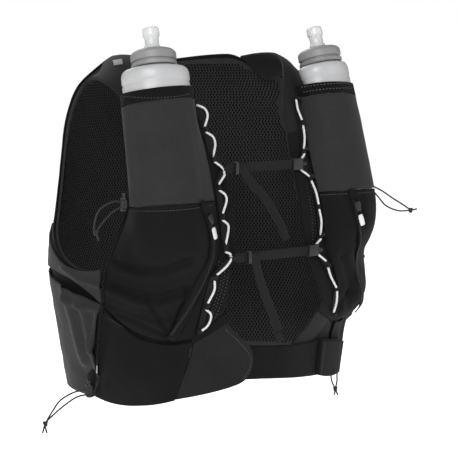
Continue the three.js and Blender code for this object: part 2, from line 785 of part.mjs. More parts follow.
const capRadius = capDiameter / 2;
const fitGap = 0.4;
const capProfile = [
  [neckDiameter / 2 + fitGap, 1.6],
  [capRadius, 1.6],
  [capRadius, capHeight * 0.26],
  [capRadius - 1.4, capHeight * 0.3],
  [capRadius - 1.4, capHeight * 0.36],
  [capRadius, capHeight * 0.4],
  [capRadius, capHeight * 0.76],
  [capRadius * 0.84, capHeight * 0.94],
  [capRadius * 0.5, capHeight],
  [valveDiameter * 0.3, capHeight],
  [valveDiameter * 0.3, capHeight + 6],
  [valveDiameter * 0.16, capHeight + 6],
  [valveDiameter * 0.16, neckHeight + 2],
  [neckDiameter / 2 + fitGap, neckHeight + 2],
];
const valveBase = capHeight + fitGap;
const valveProfile = [
  [valveDiameter * 0.14, valveBase + valveHeight * 0.64],
  [valveDiameter * 0.3 + fitGap, valveBase + valveHeight * 0.24],
  [valveDiameter * 0.3 + fitGap, valveBase],
  [valveDiameter * 0.46, valveBase],
  [valveDiameter * 0.5, valveBase + valveHeight * 0.08],
  [valveDiameter * 0.42, valveBase + valveHeight * 0.16],
  [valveDiameter * 0.42, valveBase + valveHeight * 0.4],
  [valveDiameter * 0.5, valveBase + valveHeight * 0.5],
  [valveDiameter * 0.47, valveBase + valveHeight * 0.74],
  [valveDiameter * 0.3, valveBase + valveHeight * 0.79],
];

for (const side of sides) {
  const { neck, axis, front, wide } = flaskFrame(side);
  const frame = { spot: neck, across: wide, along: front, out: axis };
  place(`flask_${side.name}`, makeFlask(side), clearPlastic);
  place(`flask_cap_${side.name}`, seat(revolve(capProfile, 12, true), frame), capPlastic);
  place(`bite_valve_${side.name}`, seat(revolve(valveProfile, 10), frame), clearPlastic);
}

// Flanks: turn off straight ahead, then down at the arm hole, above the slit and below it
const flankRows = [
  [71.5, 0.612, 0.701, 0.705],
  [76.5, 0.622, 0.671, 0.694],
  [84.0, 0.622, 0.645, 0.678],
  [90.6, 0.612, 0.641, 0.670],
  [96.0, 0.597, 0.637, 0.664],
  [104, 0.574, 0.635, 0.661],
  [112, 0.549, 0.641, 0.656],
  [118, 0.529, 0.648, 0.652],
];
const flankLift = shellTop + 1.35;
const flankSteps = flankRows.length - 1;
const flankWall = (rows, cols, guide, swell = () => 0) => {
  const lift = (height) => (u, v) => {
    const { sign, turn, z } = guide(u, v);
    return onSide(sign, turn, z, height + swell(u, v));
  };
  const outer = sheet(rows, cols, lift(flankLift + clothThickness));
  return wallBetween(outer, sheet(rows, cols, lift(flankLift)));
};

for (const side of sides) {
  const band = (u, v) => {
    const row = flankRows[Math.round(u * flankSteps)];
    return { sign: side.sign, turn: row[0], z: down(mix(row[1], row[2], v)) };
  };
  const panel = (u, v) => {
    const row = flankRows[Math.round(u * flankSteps)];
    const z = down(mix(row[3], mix(0.988, 0.994, u), v));
    return { sign: side.sign, turn: mix(sideSeam(z) + 0.3, 118, (row[0] - 71.5) / 46.5), z };
  };
  place(`side_band_${side.name}`, flankWall(2, flankSteps, band), stretchCloth);
  place(`side_panel_${side.name}`, flankWall(5, flankSteps, panel), stretchCloth);
}

const stashSwell = 0.05;
const stash = (u, v) => {
  const turn = 118.4 + 61.6 * (1 - Math.abs(2 * u - 1));
  return { sign: u < 0.5 ? -1 : 1, turn, z: down(mix(0.652, 0.995, v)) };
};
const stashLift = (u, v) => (
  stashSwell * chestHalfDepth * Math.sin(Math.PI * u) ** 2 * Math.sin(Math.PI * v));
place('stash_pocket', flankWall(4, 16, stash, stashLift), stretchCloth);

// Waist pockets on the lower chest panels
const waistSwell = 0.045;

function makeWaistPocket(side) {
  const guide = (u, v) => {
    const rise = down(mix(0.806, 0.718, u ** 1.5) + 0.022 * Math.sin(Math.PI * u));
    const z = mix(rise, hemLine(u), v);
    const outer = onSide(side.sign, sideSeam(z) - 0.4, z);
    return onFront(side.sign * frontEdge(side, z), z).lerp(outer, u);
  };
  const low = (u, v) => {
    const swell = Math.sin(Math.PI * u) ** 1.3 * Math.sin(Math.PI * v ** 1.3);
    return panelThickness + liningGap + waistSwell * chestHalfDepth * swell;
  };
  const high = (u, v) => low(u, v) + clothThickness;
  return bodyPanel(5, 7, guide, low, high);
}

// Belt wings: outer and inner down, then the inner end across on the right and on the left
const wingRows = [
  [0.813, 0.762, 0.335, 0.319],
  [0.841, 0.803, 0.245, 0.250],
  [0.868, 0.838, 0.160, 0.154],
  [0.901, 0.876, 0.138, 0.112],
  [0.937, 0.914, 0.149, 0.120],
  [0.977, 0.944, 0.197, 0.165],
];
const wingThickness = 2.5;

function makeWing(side) {
  const steps = wingRows.length - 1;
  const guide = (u, v) => {
    const row = wingRows[Math.round(v * steps)];
    const outer = down(row[0]);
    const start = onFront(side.sign * (frontEdge(side, outer) - 2 * seamGap), outer);
    const end = onFront(side.sign * row[1 + side.column] * chestHalfWidth, down(row[1]));
    return start.lerp(end, u);
  };
  return bodyPanel(steps, 5, guide, () => 0, () => wingThickness);
}

function makeBinding(side) {
  const guide = (u, v) => {
    const across = mix(0.515, mix(0.343, 0.333, v), u);
    const share = mix(mix(0.789, 0.733, u), mix(0.8105, 0.7595, u), v);
    return onFront(side.sign * across * chestHalfWidth, down(share));
  };
  return bodyPanel(1, 5, guide, () => 0, () => bindingThickness);
}

for (const side of sides) {
  place(`waist_pocket_${side.name}`, makeWaistPocket(side), blackCloth);
  place(`belt_wing_${side.name}`, makeWing(side), stretchCloth);
  place(`belt_binding_${side.name}`, makeBinding(side), blackCloth);
}

// Belt: across from the wearer's right to left, then down at its top and bottom
const beltRows = [
  [-0.135, 0.839, 0.934],
  [-0.048, 0.841, 0.939],
  [0.060, 0.845, 0.943],
  [0.117, 0.848, 0.947],
  [0.190, 0.850, 0.952],
  [0.261, 0.853, 0.957],
  [0.350, 0.855, 0.963],
  [0.447, 0.858, 0.970],
  [0.505, 0.861, 0.973],
];
const beltRise = 3.3;
const tabRows = [
  [0.378, 0.850, 0.962],
  [0.460, 0.860, 0.976],
  [0.560, 0.870, 0.986],
  [0.648, 0.884, 0.987],
];
const beltTop = beltRise + beltThickness;

function makeBelt(rows, low, thickness) {
  const guide = (u, v) => {
    const row = rows[Math.round(u * (rows.length - 1))];
    return onFront(row[0] * chestHalfWidth, down(mix(row[1], row[2], v)));
  };
  return bodyPanel(2, rows.length - 1, guide, low, (u, v) => low(u, v) + thickness);
}

place('belt_elastic', makeBelt(beltRows, (u) => beltRise * smooth(0.05, 0.3, u), beltThickness), elasticCloth);
place('belt_tab', makeBelt(tabRows, (u) => mix(beltTop + 0.5, 10, u), tabThickness), blackCloth);

// Zips on the chest pockets: level, then share from lace to arm hole on the right and left
const zipRows = [
  [4.03, 0.210, 0.265],
  [5.00, 0.145, 0.275],
  [6.00, 0.095, 0.310],
  [7.00, 0.085, 0.350],
  [8.00, 0.085, 0.320],
  [9.00, 0.115, 0.340],
  [10.0, 0.155, 0.360],
  [11.0, 0.215, 0.420],
  [11.7, 0.245, 0.450],
];

function zipPlace(side, level, height) {
  const u = readTable(zipRows, side.column, level);
  const out = pouchFacing(side, level, u);
  return { spot: shifted(pouchSpot(side, level, u), [out, height]), out };
}

const sliderOutline = [[0.30, 0.5], [-0.30, 0.5], [-0.38, 0.2], [-0.22, -0.5], [0.22, -0.5], [0.38, 0.2]];
const pullOutline = [[0.18, 0.5], [-0.18, 0.5], [-0.24, 0.2], [-0.24, -0.42], [-0.16, -0.5],
  [0.16, -0.5], [0.24, -0.42], [0.24, 0.2]];
const sliderLevel = 4.9;
const pullLevel = 5.62;
const zipTop = zipLift + zipThickness;

function onZip(side, level, outline, length, thickness) {
  const { spot, out } = zipPlace(side, level, zipTop + 0.5);
  const along = zipPlace(side, level - 0.2, 0).spot.sub(zipPlace(side, level + 0.2, 0).spot);
  const across = point(0, 0, 0).crossVectors(along, out).normalize();
  const upright = point(0, 0, 0).crossVectors(out, across).normalize();
  const shape = slab(outline.map(([x, y]) => [x * length, y * length]), thickness);
  return seat(shape, { spot, across, along: upright, out });
}

for (const side of sides) {
  const stations = zipRows.map((row) => zipPlace(side, row[0], zipLift));
  const facing = (spot) => stations.find((station) => station.spot === spot).out;
  const strip = ribbon(stations.map((station) => station.spot), zipWidth, zipThickness, facing);
  place(`zip_${side.name}`, strip, blackCloth);
  const slider = onZip(side, sliderLevel, sliderOutline, sliderLength, 2.6);
  place(`zip_slider_${side.name}`, slider, hardPlastic);
  const pull = onZip(side, pullLevel, pullOutline, pullLength, 1.8);
  place(`zip_pull_${side.name}`, pull, reflective);
}

// Laces, woven through loops on a tape down each front edge
const guideLift = panelThickness + 0.95;
const laceLift = guideLift + guideThickness + 0.6 + laceDiameter / 2;
const ringLift = laceLift + 2.7;
const ringHeight = 4;
const outward = (spot) => bodySlope(spot).normalize();
const isStrapLoop = (i) => i === upperStrapLoop || i === lowerStrapLoop;
const isStraight = (i) => i % 2 === 0 || isStrapLoop(i);

function lacePath(side) {
  const at = (share, across, height) => onFront(side.sign * across, down(share), height);
  const path = [];
  laceRows.forEach((row, i) => {
    const across = row[side.column] * chestHalfWidth;
    const height = isStrapLoop(i) ? ringLift : laceLift;
    const half = (isStrapLoop(i) ? 0.8 : 0.5) * ringHeight / vestLength;
    if (isStraight(i)) path.push(at(row[0] - half, across, height), at(row[0] + half, across, height));
    else path.push(at(row[0], across, height));
    if (i + 1 === laceRows.length) return;
    const next = laceRows[i + 1];
    const middle = (across + next[side.column] * chestHalfWidth) / 2;
    const bow = row[2 + side.column] * webbingWidth;
    path.push(at((row[0] + next[0]) / 2, middle - bow, (height + laceLift) / 2));
  });
  return path;
}

const loopOutline = [[-2.6, -0.3], [-1.8, -0.3], [-1.8, 3.3], [1.8, 3.3], [1.8, -0.3], [2.6, -0.3],
  [2.6, 4.2], [-2.6, 4.2]];

function makeGuide(side) {
  const spots = laceRows.map((row) => onFront(side.sign * row[side.column] * chestHalfWidth, down(row[0])));
  const strip = ribbon(spots.map((spot) => shifted(spot, [outward(spot), guideLift])),
    guideWidth, guideThickness, outward);
  const loops = laceRows.map((row, i) => {
    const height = guideLift + guideThickness;
    const half = ringHeight / 2 / vestLength;
    const [top, low] = [row[0] - half, row[0] + half].map((share) => (
      onFront(side.sign * row[side.column] * chestHalfWidth, down(share), height)));
    const [start] = walk([low, top], outward);
    const { across, along, out, spot } = start;
    const frame = { spot, across, along: out, out: along.clone().negate() };
    const loop = slab(loopOutline, ringHeight);
    return i % 2 === 1 ? null : seat(loop, { ...frame, spot: shifted(spot, [along, ringHeight]) });
  });
  return joined([strip, ...loops.filter((loop) => loop)]);
}

for (const side of sides) {
  place(`lace_${side.name}`, pipe(lacePath(side), laceDiameter / 2, 5, outward), reflective);
  place(`lace_guide_${side.name}`, makeGuide(side), webbing);
}

// Sternum straps between the laces: strap with its ring, buckle, keeper and loose tail
const ringBore = laceDiameter / 2 + 0.9;
const buckleLength = 15;
const buckleDepth = 5;
const straps = [
  { name: 'upper', loop: upperStrapLoop, keeper: 0.13, tail: [[0.20, 0.000], [0.27, -0.036],
    [0.43, -0.080], [0.52, -0.118], [0.60, -0.168], [0.665, -0.212]] },
  { name: 'lower', loop: lowerStrapLoop, keeper: 0.17, tail: [[0.24, 0.000], [0.29, -0.075],
    [0.39, -0.140], [0.48, -0.203], [0.515, -0.247]] },
];

function box(x, y, z, width, depth, height) {
  const ring = [[-0.5, -0.5], [0.5, -0.5], [0.5, 0.5], [-0.5, 0.5]];
  return slab(ring.map(([a, b]) => [x + a * width, y + b * depth]), height).translate(0, 0, z - height / 2);
}

for (const strap of straps) {
  const [right, left] = sides.map((side) => {
    const row = laceRows[strap.loop];
    return onFront(side.sign * row[side.column] * chestHalfWidth, down(row[0]), ringLift);
  });
  const length = right.distanceTo(left);
  const across = left.clone().sub(right).normalize();
  const out = point(0, -1, 0).addScaledVector(across, across.y).normalize();
  const frame = { spot: right, across, along: out, out: point(0, 0, 0).crossVectors(across, out) };
  const ring = (x) => revolve([[ringBore, -2], [ringBore + 1.2, -2], [ringBore + 1.2, 2], [ringBore, 2]],
    8, true).translate(x, 0, 0);
  const strapEnd = length - buckleLength + 5;
  const strip = box((ringBore + 0.6 + strapEnd) / 2, 0, 0,
    strapEnd - ringBore - 0.6, webbingThickness, webbingWidth);
  place(`sternum_${strap.name}_strap`, seat(joined([ring(0), strip]), frame), webbing);
  const shell = box(length - buckleLength / 2 - ringBore, 0, 0, buckleLength - 2, buckleDepth,
    webbingWidth + 2.6);
  const pocket = box(length - buckleLength, 0, 0, 12, webbingThickness + 0.8, webbingWidth + 0.8);
  const solid = asSolid(joined([shell, ring(length)])).subtract(asSolid(pocket));
  place(`sternum_${strap.name}_buckle`, seat(fromSolid(solid), frame), hardPlastic);
  const keeperAt = strap.keeper * length;
  const clear = 2 * webbingThickness + 1.2;
  const hole = asSolid(box(keeperAt, clear / 2 - 1.2, 0, 9, clear, webbingWidth + 0.8));
  const block = asSolid(box(keeperAt, clear / 2 - 1.2, 0, 4, clear + 2.4, webbingWidth + 3.2));
  place(`sternum_${strap.name}_keeper`, seat(fromSolid(block.subtract(hole)), frame), hardPlastic);
  const tail = strap.tail.map(([share, fall], i) => {
    const rise = webbingThickness / 2 + 0.4 + i * 0.6;
    const flat = shifted(right, [across, share * length], [out, rise]);
    const hung = flat.setZ(flat.z + fall * vestLength);
    const surface = settle(hung, 2.2);
    return surface.y < hung.y ? surface : hung;
  });
  const leads = [-9, -1].map((back) => shifted(tail[0], [across, back]));
  const band = ribbon([...leads, ...tail.slice(1)], webbingWidth, webbingThickness, () => out);
  place(`sternum_${strap.name}_tail`, band, webbing);
}

// Cord locks, each with a sprung button, and their free cords
const bore = buttonDiameter / 2 + 0.3;
const barrelProfile = [
  [bore, lockHeight * 0.23],
  [bore, lockHeight],
  [lockDiameter / 2, lockHeight],
  [lockDiameter / 2, 0],
];
const buttonFoot = lockHeight * 0.23 + buttonTravel + 0.4;
const buttonProfile = [
  [buttonDiameter / 2, buttonFoot],
  [buttonDiameter / 2, lockHeight + buttonTravel + 1],
  [buttonDiameter / 3, lockHeight + buttonTravel + 1.6],
];

function placeLock(name, spot) {
  const seated = (profile) => revolve(profile, 12).translate(spot.x, spot.y, spot.z - lockHeight / 2);
  place(`${name}_lock`, seated(barrelProfile), hardPlastic);
  place(`${name}_button`, seated(buttonProfile), hardPlastic);
}

// Cords as steps from their lock: across, forward and up in lock heights
const lockReach = lockDiameter / 2 + 0.5;
const cords = {
  pocket_r: {
    upper: [[0, 0, 0.15], [-0.6, 0.25, 0.30], [-1.6, 0.45, 0.05], [-2.2, 0.5, -0.5], [-2.45, 0.5, -1.55]],
    lower: [[0, 0.1, -0.15], [-0.9, 0.3, -0.5], [-1.75, 0.45, -1.15], [-2.3, 0.5, -1.75]],
    tails: [[-2.05, 0.5, -2.35]],
  },
  pocket_l: {
    upper: [[0, 0, -0.05], [1.0, 0.0, -0.5], [2.2, 0.0, -1.2], [3.3, 0.0, -1.8], [4.2, 0.0, -2.15]],
    lower: [[0, 0.1, -0.4], [0.7, 0.0, -1.0], [1.5, 0.0, -1.75], [2.8, 0.0, -2.25], [4.1, 0.0, -2.3]],
    tails: [[4.75, 0.0, -2.25]],
  },
  hem_r: {
    upper: [[0, 0, 0.1], [-1.0, -0.1, 0.0], [-2.0, -0.2, -0.45], [-2.6, -0.2, -1.1], [-3.2, -0.2, -1.85]],
    lower: [[0, 0.1, -0.25], [-0.9, 0.2, -0.3], [-1.85, 0.1, -0.8], [-2.7, 0.0, -1.4], [-3.3, -0.1, -2.0]],
    tails: [[-3.55, -0.1, -2.65], [-3.2, -0.1, -2.7]],
  },
};

function makeCord(sign, lock, { upper, lower, tails }) {
  const start = shifted(lock, [point(sign, 0, 0), lockReach]);
  const at = ([x, y, z]) => shifted(start, [point(x, -y, z), lockHeight]);
  const facing = () => point(0, -1, 0);
  const strand = (steps) => pipe(steps.map(at), cordDiameter / 2, 8, facing);
  const knot = at(lower.at(-1));
  const bead = revolve([[0.3, -0.45], [0.5, -0.1], [0.5, 0.15], [0.2, 0.45]]
    .map(([r, z]) => [r * knotDiameter, z * knotDiameter]), 8).translate(knot.x, knot.y, knot.z);
  const ends = tails.map((tail) => strand([lower.at(-1), tail]));
  return joined([strand([...upper, lower.at(-1)]), strand(lower), bead, ...ends]);
}

for (const side of sides) {
  const level = 3.9;
  const beside = side.sign < 0 ? 0.86 : 0.80;
  const out = pouchFacing(side, level, beside);
  const lift = lockDiameter / 2 + 0.85;
  const spot = shifted(pouchSpot(side, level, beside), [out, lift]);
  placeLock(`pocket_${side.name}`, spot);
  const run = cords[`pocket_${side.name}`];
  place(`pocket_cord_${side.name}`, makeCord(side.sign, spot, run), cordCloth);
}
const hemSpot = onSide(-1, 80, down(0.960), flankLift + clothThickness + lockDiameter / 2 + 1.4);
placeLock('hem_r', hemSpot);
place('hem_cord_r', makeCord(-1, hemSpot, cords.hem_r), cordCloth);

// The left hem cord leaves the hem's channel under the belt tab
const channel = onFront(0.535 * chestHalfWidth, down(0.985), 11);
const leftHem = {
  upper: [[0, 0, 0], [0.1, 0, -0.45]],
  lower: [[0.6, 0, -0.05], [0.6, 0, -0.5], [0.45, 0, -1.1]],
  tails: [[0.7, 0, -1.6], [0.35, 0, -1.55]],
};
const channelStart = shifted(channel, [point(-1, 0, 0), lockReach]);
place('hem_cord_l', makeCord(1, channelStart, leftHem), cordCloth);

export default vest;
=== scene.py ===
import math

import bmesh
import bpy
import numpy as np
from mathutils import Matrix, Vector, noise
from mathutils.bvhtree import BVHTree


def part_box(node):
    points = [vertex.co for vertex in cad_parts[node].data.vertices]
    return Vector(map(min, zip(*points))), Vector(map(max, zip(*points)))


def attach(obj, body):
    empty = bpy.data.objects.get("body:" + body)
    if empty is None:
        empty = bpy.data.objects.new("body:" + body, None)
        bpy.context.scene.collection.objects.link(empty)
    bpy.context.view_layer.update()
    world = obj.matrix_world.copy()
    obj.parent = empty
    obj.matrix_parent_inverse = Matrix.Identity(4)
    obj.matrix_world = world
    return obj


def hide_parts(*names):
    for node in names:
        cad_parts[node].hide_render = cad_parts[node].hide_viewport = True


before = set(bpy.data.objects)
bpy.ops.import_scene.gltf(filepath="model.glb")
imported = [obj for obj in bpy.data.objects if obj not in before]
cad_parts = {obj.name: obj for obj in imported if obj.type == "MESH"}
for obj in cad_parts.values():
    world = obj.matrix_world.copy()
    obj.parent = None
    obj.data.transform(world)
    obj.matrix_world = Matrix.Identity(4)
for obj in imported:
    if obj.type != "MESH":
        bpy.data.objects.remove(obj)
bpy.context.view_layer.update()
print("frame loaded")


# Camera and the photograph's frame
photoFrame = {
    "pixels": 458, "lookAt": (0.0456, 0.0, -0.2244), "azimuth": -34.0, "elevation": 8.0,
    "distance": 1.760, "lens": 114.3, "sensor": 36.0,
}


def viewAxes(look):
    turn, rise = math.radians(look["azimuth"]), math.radians(look["elevation"])
    level = math.cos(rise)
    back = Vector((math.sin(turn) * level, -math.cos(turn) * level, math.sin(rise)))
    right = Vector((math.cos(turn), math.sin(turn), 0))
    return back, right, back.cross(right)


viewBack, viewRight, viewUp = viewAxes(photoFrame)
eyeSpot = Vector(photoFrame["lookAt"]) + viewBack * photoFrame["distance"]
focalPixels = photoFrame["lens"] / photoFrame["sensor"] * photoFrame["pixels"]
middlePixel = photoFrame["pixels"] / 2


def addObject(name, data):
    made = bpy.data.objects.new(name, data)
    bpy.context.scene.collection.objects.link(made)
    return made


def makeCamera(look):
    data = bpy.data.cameras.new("photoCamera")
    data.lens = look["lens"]
    data.sensor_width = look["sensor"]
    camera = addObject("photoCamera", data)
    camera.location = eyeSpot
    camera.rotation_mode = "QUATERNION"
    camera.rotation_quaternion = (-viewBack).to_track_quat("-Z", "Y")
    bpy.context.scene.camera = camera


def pixelRay(pixel):
    across, down = pixel[0] - middlePixel, pixel[1] - middlePixel
    return (-viewBack * focalPixels + viewRight * across - viewUp * down).normalized()


def pixelsOf(places):
    away = places - np.array(eyeSpot)
    depth = away @ -np.array(viewBack)
    across = middlePixel + focalPixels * (away @ np.array(viewRight)) / depth
    down = middlePixel - focalPixels * (away @ np.array(viewUp)) / depth
    return np.stack([across, down], axis=1)


makeCamera(photoFrame)


# Cords first: their route in lock heights from the place where they leave their lock
cordMake = {
    "thickness": 0.0019,
    "knotWidth": 0.0064,
    "knotSpan": 7.2,          # the knot's width in the units of its own curve
    "knotPoints": 48,
    "knotSides": 8,
    "lockHeight": 0.015,
    "reach": 0.0048,          # from the lock's middle to the cord's start
    "pointsPerStep": 6,
}
cordRoutes = {
    "pocket_r": {
        "sign": -1,
        "upper": [(0, 0, 0.15), (-0.6, 0.25, 0.30), (-1.6, 0.45, 0.05), (-2.2, 0.5, -0.5),
                  (-2.45, 0.5, -1.55), (-2.3, 0.5, -1.75), (-2.05, 0.5, -2.35)],
        "lower": [(0, 0.1, -0.15), (-0.9, 0.3, -0.5), (-1.75, 0.45, -1.15), (-2.3, 0.5, -1.75)],
        "knot": (-2.3, 0.5, -1.75),
    },
    "pocket_l": {
        "sign": 1,
        "upper": [(0, 0, -0.05), (1.0, 0.0, -0.5), (2.2, 0.0, -1.2), (3.3, 0.0, -1.8),
                  (4.1, 0.0, -2.25), (4.75, 0.0, -2.25)],
        "lower": [(0, 0.1, -0.4), (0.7, 0.0, -1.0), (1.5, 0.0, -1.75), (2.8, 0.0, -2.25),
                  (4.1, 0.0, -2.3)],
        "knot": (4.1, 0.0, -2.28),
    },
    "hem_r": {
        "sign": -1,
        "upper": [(0, 0, 0.1), (-1.0, -0.1, 0.0), (-2.0, -0.2, -0.45), (-2.6, -0.2, -1.1),
                  (-3.25, -0.15, -1.95), (-3.55, -0.1, -2.65)],
        "lower": [(0, 0.1, -0.25), (-0.9, 0.2, -0.3), (-1.85, 0.1, -0.8), (-2.7, 0.0, -1.4),
                  (-3.3, -0.1, -2.0), (-3.2, -0.1, -2.7)],
        "knot": (-3.3, -0.1, -1.98),
    },
}
leftHemStart = Vector((0.10675, -0.12437, -0.38992))
leftHemRoute = {
    "upper": [(-0.05, 0, 0.45), (0, 0, 0), (0.1, 0, -0.45), (0.45, 0, -1.1), (0.7, 0, -1.62)],
    "lower": [(0.62, 0, 0.6), (0.6, 0, -0.05), (0.6, 0, -0.5), (0.45, 0, -1.1), (0.35, 0, -1.57)],
    "knot": (0.45, 0, -1.08),
}


def smoothPath(points, perStep):
    places = [Vector(p) for p in points]
    path = []
    for i in range(len(places) - 1):
        before = places[max(i - 1, 0)]
        start, end = places[i], places[i + 1]
        after = places[min(i + 2, len(places) - 1)]
        for step in range(perStep):
            t = step / perStep
            lead, trail = (end - before) * 0.5, (after - start) * 0.5
            path.append(start * (2 * t**3 - 3 * t**2 + 1) + lead * (t**3 - 2 * t**2 + t)
                        + end * (3 * t**2 - 2 * t**3) + trail * (t**3 - t**2))
    return path + [places[-1]]


def pathLength(path):
    return sum((b - a).length for a, b in zip(path, path[1:]))


def turnOut(thing):
    work = bmesh.new()
    work.from_mesh(thing.data)
    bmesh.ops.recalc_face_normals(work, faces=work.faces)
    work.to_mesh(thing.data)
    work.free()


def closedShape(name, corners, faces, smooth=True, sharpFrom=None):
    mesh = bpy.data.meshes.new(name)
    mesh.from_pydata(corners, [], faces)
    mesh.polygons.foreach_set("use_smooth", [smooth] * len(faces))
    made = addObject(name, mesh)
    turnOut(made)
    if sharpFrom:
        made.data.set_sharp_from_angle(angle=sharpFrom)
    return made


def ringFaces(rings, sides, looped=False):
    faces = []
    for i in range(rings if looped else rings - 1):
        here, there = i * sides, (i + 1) % rings * sides
        for k in range(sides):
            after = (k + 1) % sides
            faces.append((here + k, here + after, there + after, there + k))
    return faces


def endFaces(rings, sides):
    return [tuple(range(sides))[::-1], tuple((rings - 1) * sides + k for k in range(sides))]


def cordCurve(name, path, thickness):
    curve = bpy.data.curves.new(name, "CURVE")
    curve.dimensions = "3D"
    curve.bevel_depth = thickness / 2
    curve.bevel_resolution = 3
    curve.use_fill_caps = True
    line = curve.splines.new("POLY")
    line.points.add(len(path) - 1)
    for spot, place in zip(line.points, path):
        spot.co = (*place, 1)
    return addObject(name, curve)


def tubeMesh(name, path, radius, sides, looped=False):
    count = len(path)
    corners, side = [], Vector((0, 0, 1))
    for i, place in enumerate(path):
        ahead = path[(i + 1) % count] if looped else path[min(i + 1, count - 1)]
        behind = path[i - 1] if looped or i else path[0]
        along = (ahead - behind).normalized()
        side = (side - along * side.dot(along)).normalized()
        other = along.cross(side)
        for k in range(sides):
            turn = 2 * math.pi * k / sides
            corners.append(place + (side * math.cos(turn) + other * math.sin(turn)) * radius)
    faces = ringFaces(count, sides, looped) + ([] if looped else endFaces(count, sides))
    return closedShape(name, corners, faces)


def knotPath(middle):
    reach = cordMake["knotWidth"] / cordMake["knotSpan"]
    path = []
    for i in range(cordMake["knotPoints"]):
        t = 2 * math.pi * i / cordMake["knotPoints"]
        path.append(middle + Vector((
            math.sin(t) + 2 * math.sin(2 * t), math.sin(3 * t), math.cos(t) - 2 * math.cos(2 * t)
        )) * reach)
    return path


cordPieces = []


def makeCordPair(name, start, route):
    def place(step):
        return start + Vector((step[0], -step[1], step[2])) * cordMake["lockHeight"]

    knot = tubeMesh(f"{name}Knot", knotPath(place(route["knot"])), cordMake["thickness"] / 2,
                    cordMake["knotSides"], True)
    paths = {}
    for strand in ("upper", "lower"):
        path = smoothPath([place(step) for step in route[strand]], cordMake["pointsPerStep"])
        paths[strand] = (cordCurve(f"{name}{strand.title()}", path, cordMake["thickness"]), path)
    cordPieces.append((name, knot, paths))


def lockMiddle(name):
    low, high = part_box(name)
    return (low + high) / 2


for lockName, route in cordRoutes.items():
    middle = lockMiddle(f"{lockName}_lock")
    cordStart = middle + Vector((route["sign"] * cordMake["reach"], 0, 0))
    makeCordPair(f"cord_{lockName}", cordStart, route)
makeCordPair("cord_hem_l", leftHemStart, leftHemRoute)
print("cords laid")


# Shader groups that the finishes share
def fillInputs(tree, made, inputs):
    for key, value in inputs.items():
        if isinstance(value, bpy.types.NodeSocket):
            tree.links.new(value, made.inputs[key])
        else:
            made.inputs[key].default_value = value


def addNode(tree, kind, inputs=None, **settings):
    made = tree.nodes.new(kind)
    for key, value in settings.items():
        setattr(made, key, value)
    fillInputs(tree, made, inputs or {})
    return made.outputs


def useGroup(tree, group, inputs):
    return addNode(tree, "ShaderNodeGroup", inputs, node_tree=group)


def newGroup(name, inputs, outputs):
    tree = bpy.data.node_groups.new(name, "ShaderNodeTree")
    for label, kind, value in inputs:
        socket = tree.interface.new_socket(
            name=label, in_out="INPUT", socket_type=f"NodeSocket{kind}")
        socket.default_value = value
    for label, kind in outputs:
        tree.interface.new_socket(name=label, in_out="OUTPUT", socket_type=f"NodeSocket{kind}")
    return tree, tree.nodes.new("NodeGroupInput").outputs, tree.nodes.new("NodeGroupOutput")


def mixColour(tree, factor, first, second):
    return addNode(tree, "ShaderNodeMix", {0: factor, 6: first, 7: second},
                   data_type="RGBA")[2]


def calc(tree, operation, first, second=0.5, third=0.5):
    return addNode(tree, "ShaderNodeMath", {0: first, 1: second, 2: third},
                   operation=operation)[0]


def objectSpot(tree):
    return addNode(tree, "ShaderNodeTexCoord")["Object"]


def cloudy(tree, spot, scale, detail):
    return addNode(tree, "ShaderNodeTexNoise",
                   {"Vector": spot, "Scale": scale, "Detail": detail})[0]


def grey(value, tint=1.03):
    return (value, value, value * tint, 1)


def makeKnitGroup():
    tree, given, result = newGroup(
        "knitGrain",
        [("Colour", "Color", grey(0.02, 1)), ("Light Thread", "Color", grey(0.05, 1)),
         ("Threads per metre", "Float", 1200.0), ("Thread Show", "Float", 0.5)],
        [("Colour", "Color"), ("Height", "Float"), ("Rough", "Float")])
    spot = objectSpot(tree)
    yarn = addNode(tree, "ShaderNodeTexVoronoi",
                   {"Vector": spot, "Scale": given["Threads per metre"]})["Distance"]
    fuzz = cloudy(tree, spot, 420.0, 4.0)
    flecks = calc(tree, "MULTIPLY", yarn, fuzz)
    amount = calc(tree, "MULTIPLY", flecks, given["Thread Show"])
    share = calc(tree, "MULTIPLY_ADD", cloudy(tree, spot, 16.0, 3.0), 0.35, amount)
    fillInputs(tree, result, {
        "Colour": mixColour(tree, share, given["Colour"], given["Light Thread"]),
        "Height": yarn, "Rough": calc(tree, "MULTIPLY_ADD", fuzz, 0.25, 0.68)})
    return tree


def makeRibGroup():
    tree, given, result = newGroup(
        "ribLines",
        [("Direction", "Vector", (1, 0, 0)), ("Ribs per metre", "Float", 700.0),
         ("Waver", "Float", 0.6)],
        [("Mask", "Float")])
    spot = objectSpot(tree)
    along = addNode(tree, "ShaderNodeVectorMath", {0: spot, 1: given["Direction"]},
                    operation="DOT_PRODUCT")["Value"]
    pushed = calc(tree, "MULTIPLY", cloudy(tree, spot, 90.0, 1.0), given["Waver"])
    phase = calc(tree, "MULTIPLY_ADD", along, given["Ribs per metre"], pushed)
    wave = calc(tree, "SINE", calc(tree, "MULTIPLY", phase, 2 * math.pi))
    fillInputs(tree, result, {"Mask": calc(tree, "MULTIPLY_ADD", wave, 0.5, 0.5)})
    return tree


def makeWearGroup():
    tree, given, result = newGroup(
        "rubbedMarks",
        [("Colour", "Color", grey(0.02, 1)), ("Worn", "Color", grey(0.08, 1)),
         ("Amount", "Float", 0.3)],
        [("Colour", "Color")])
    marks = cloudy(tree, objectSpot(tree), 38.0, 6.0)
    picked = addNode(tree, "ShaderNodeMapRange",
                     {0: marks, 1: 0.52, 2: 0.78, 3: 0.0, 4: 1.0})[0]
    amount = calc(tree, "MULTIPLY", picked, given["Amount"])
    fillInputs(tree, result, {
        "Colour": mixColour(tree, amount, given["Colour"], given["Worn"])})
    return tree


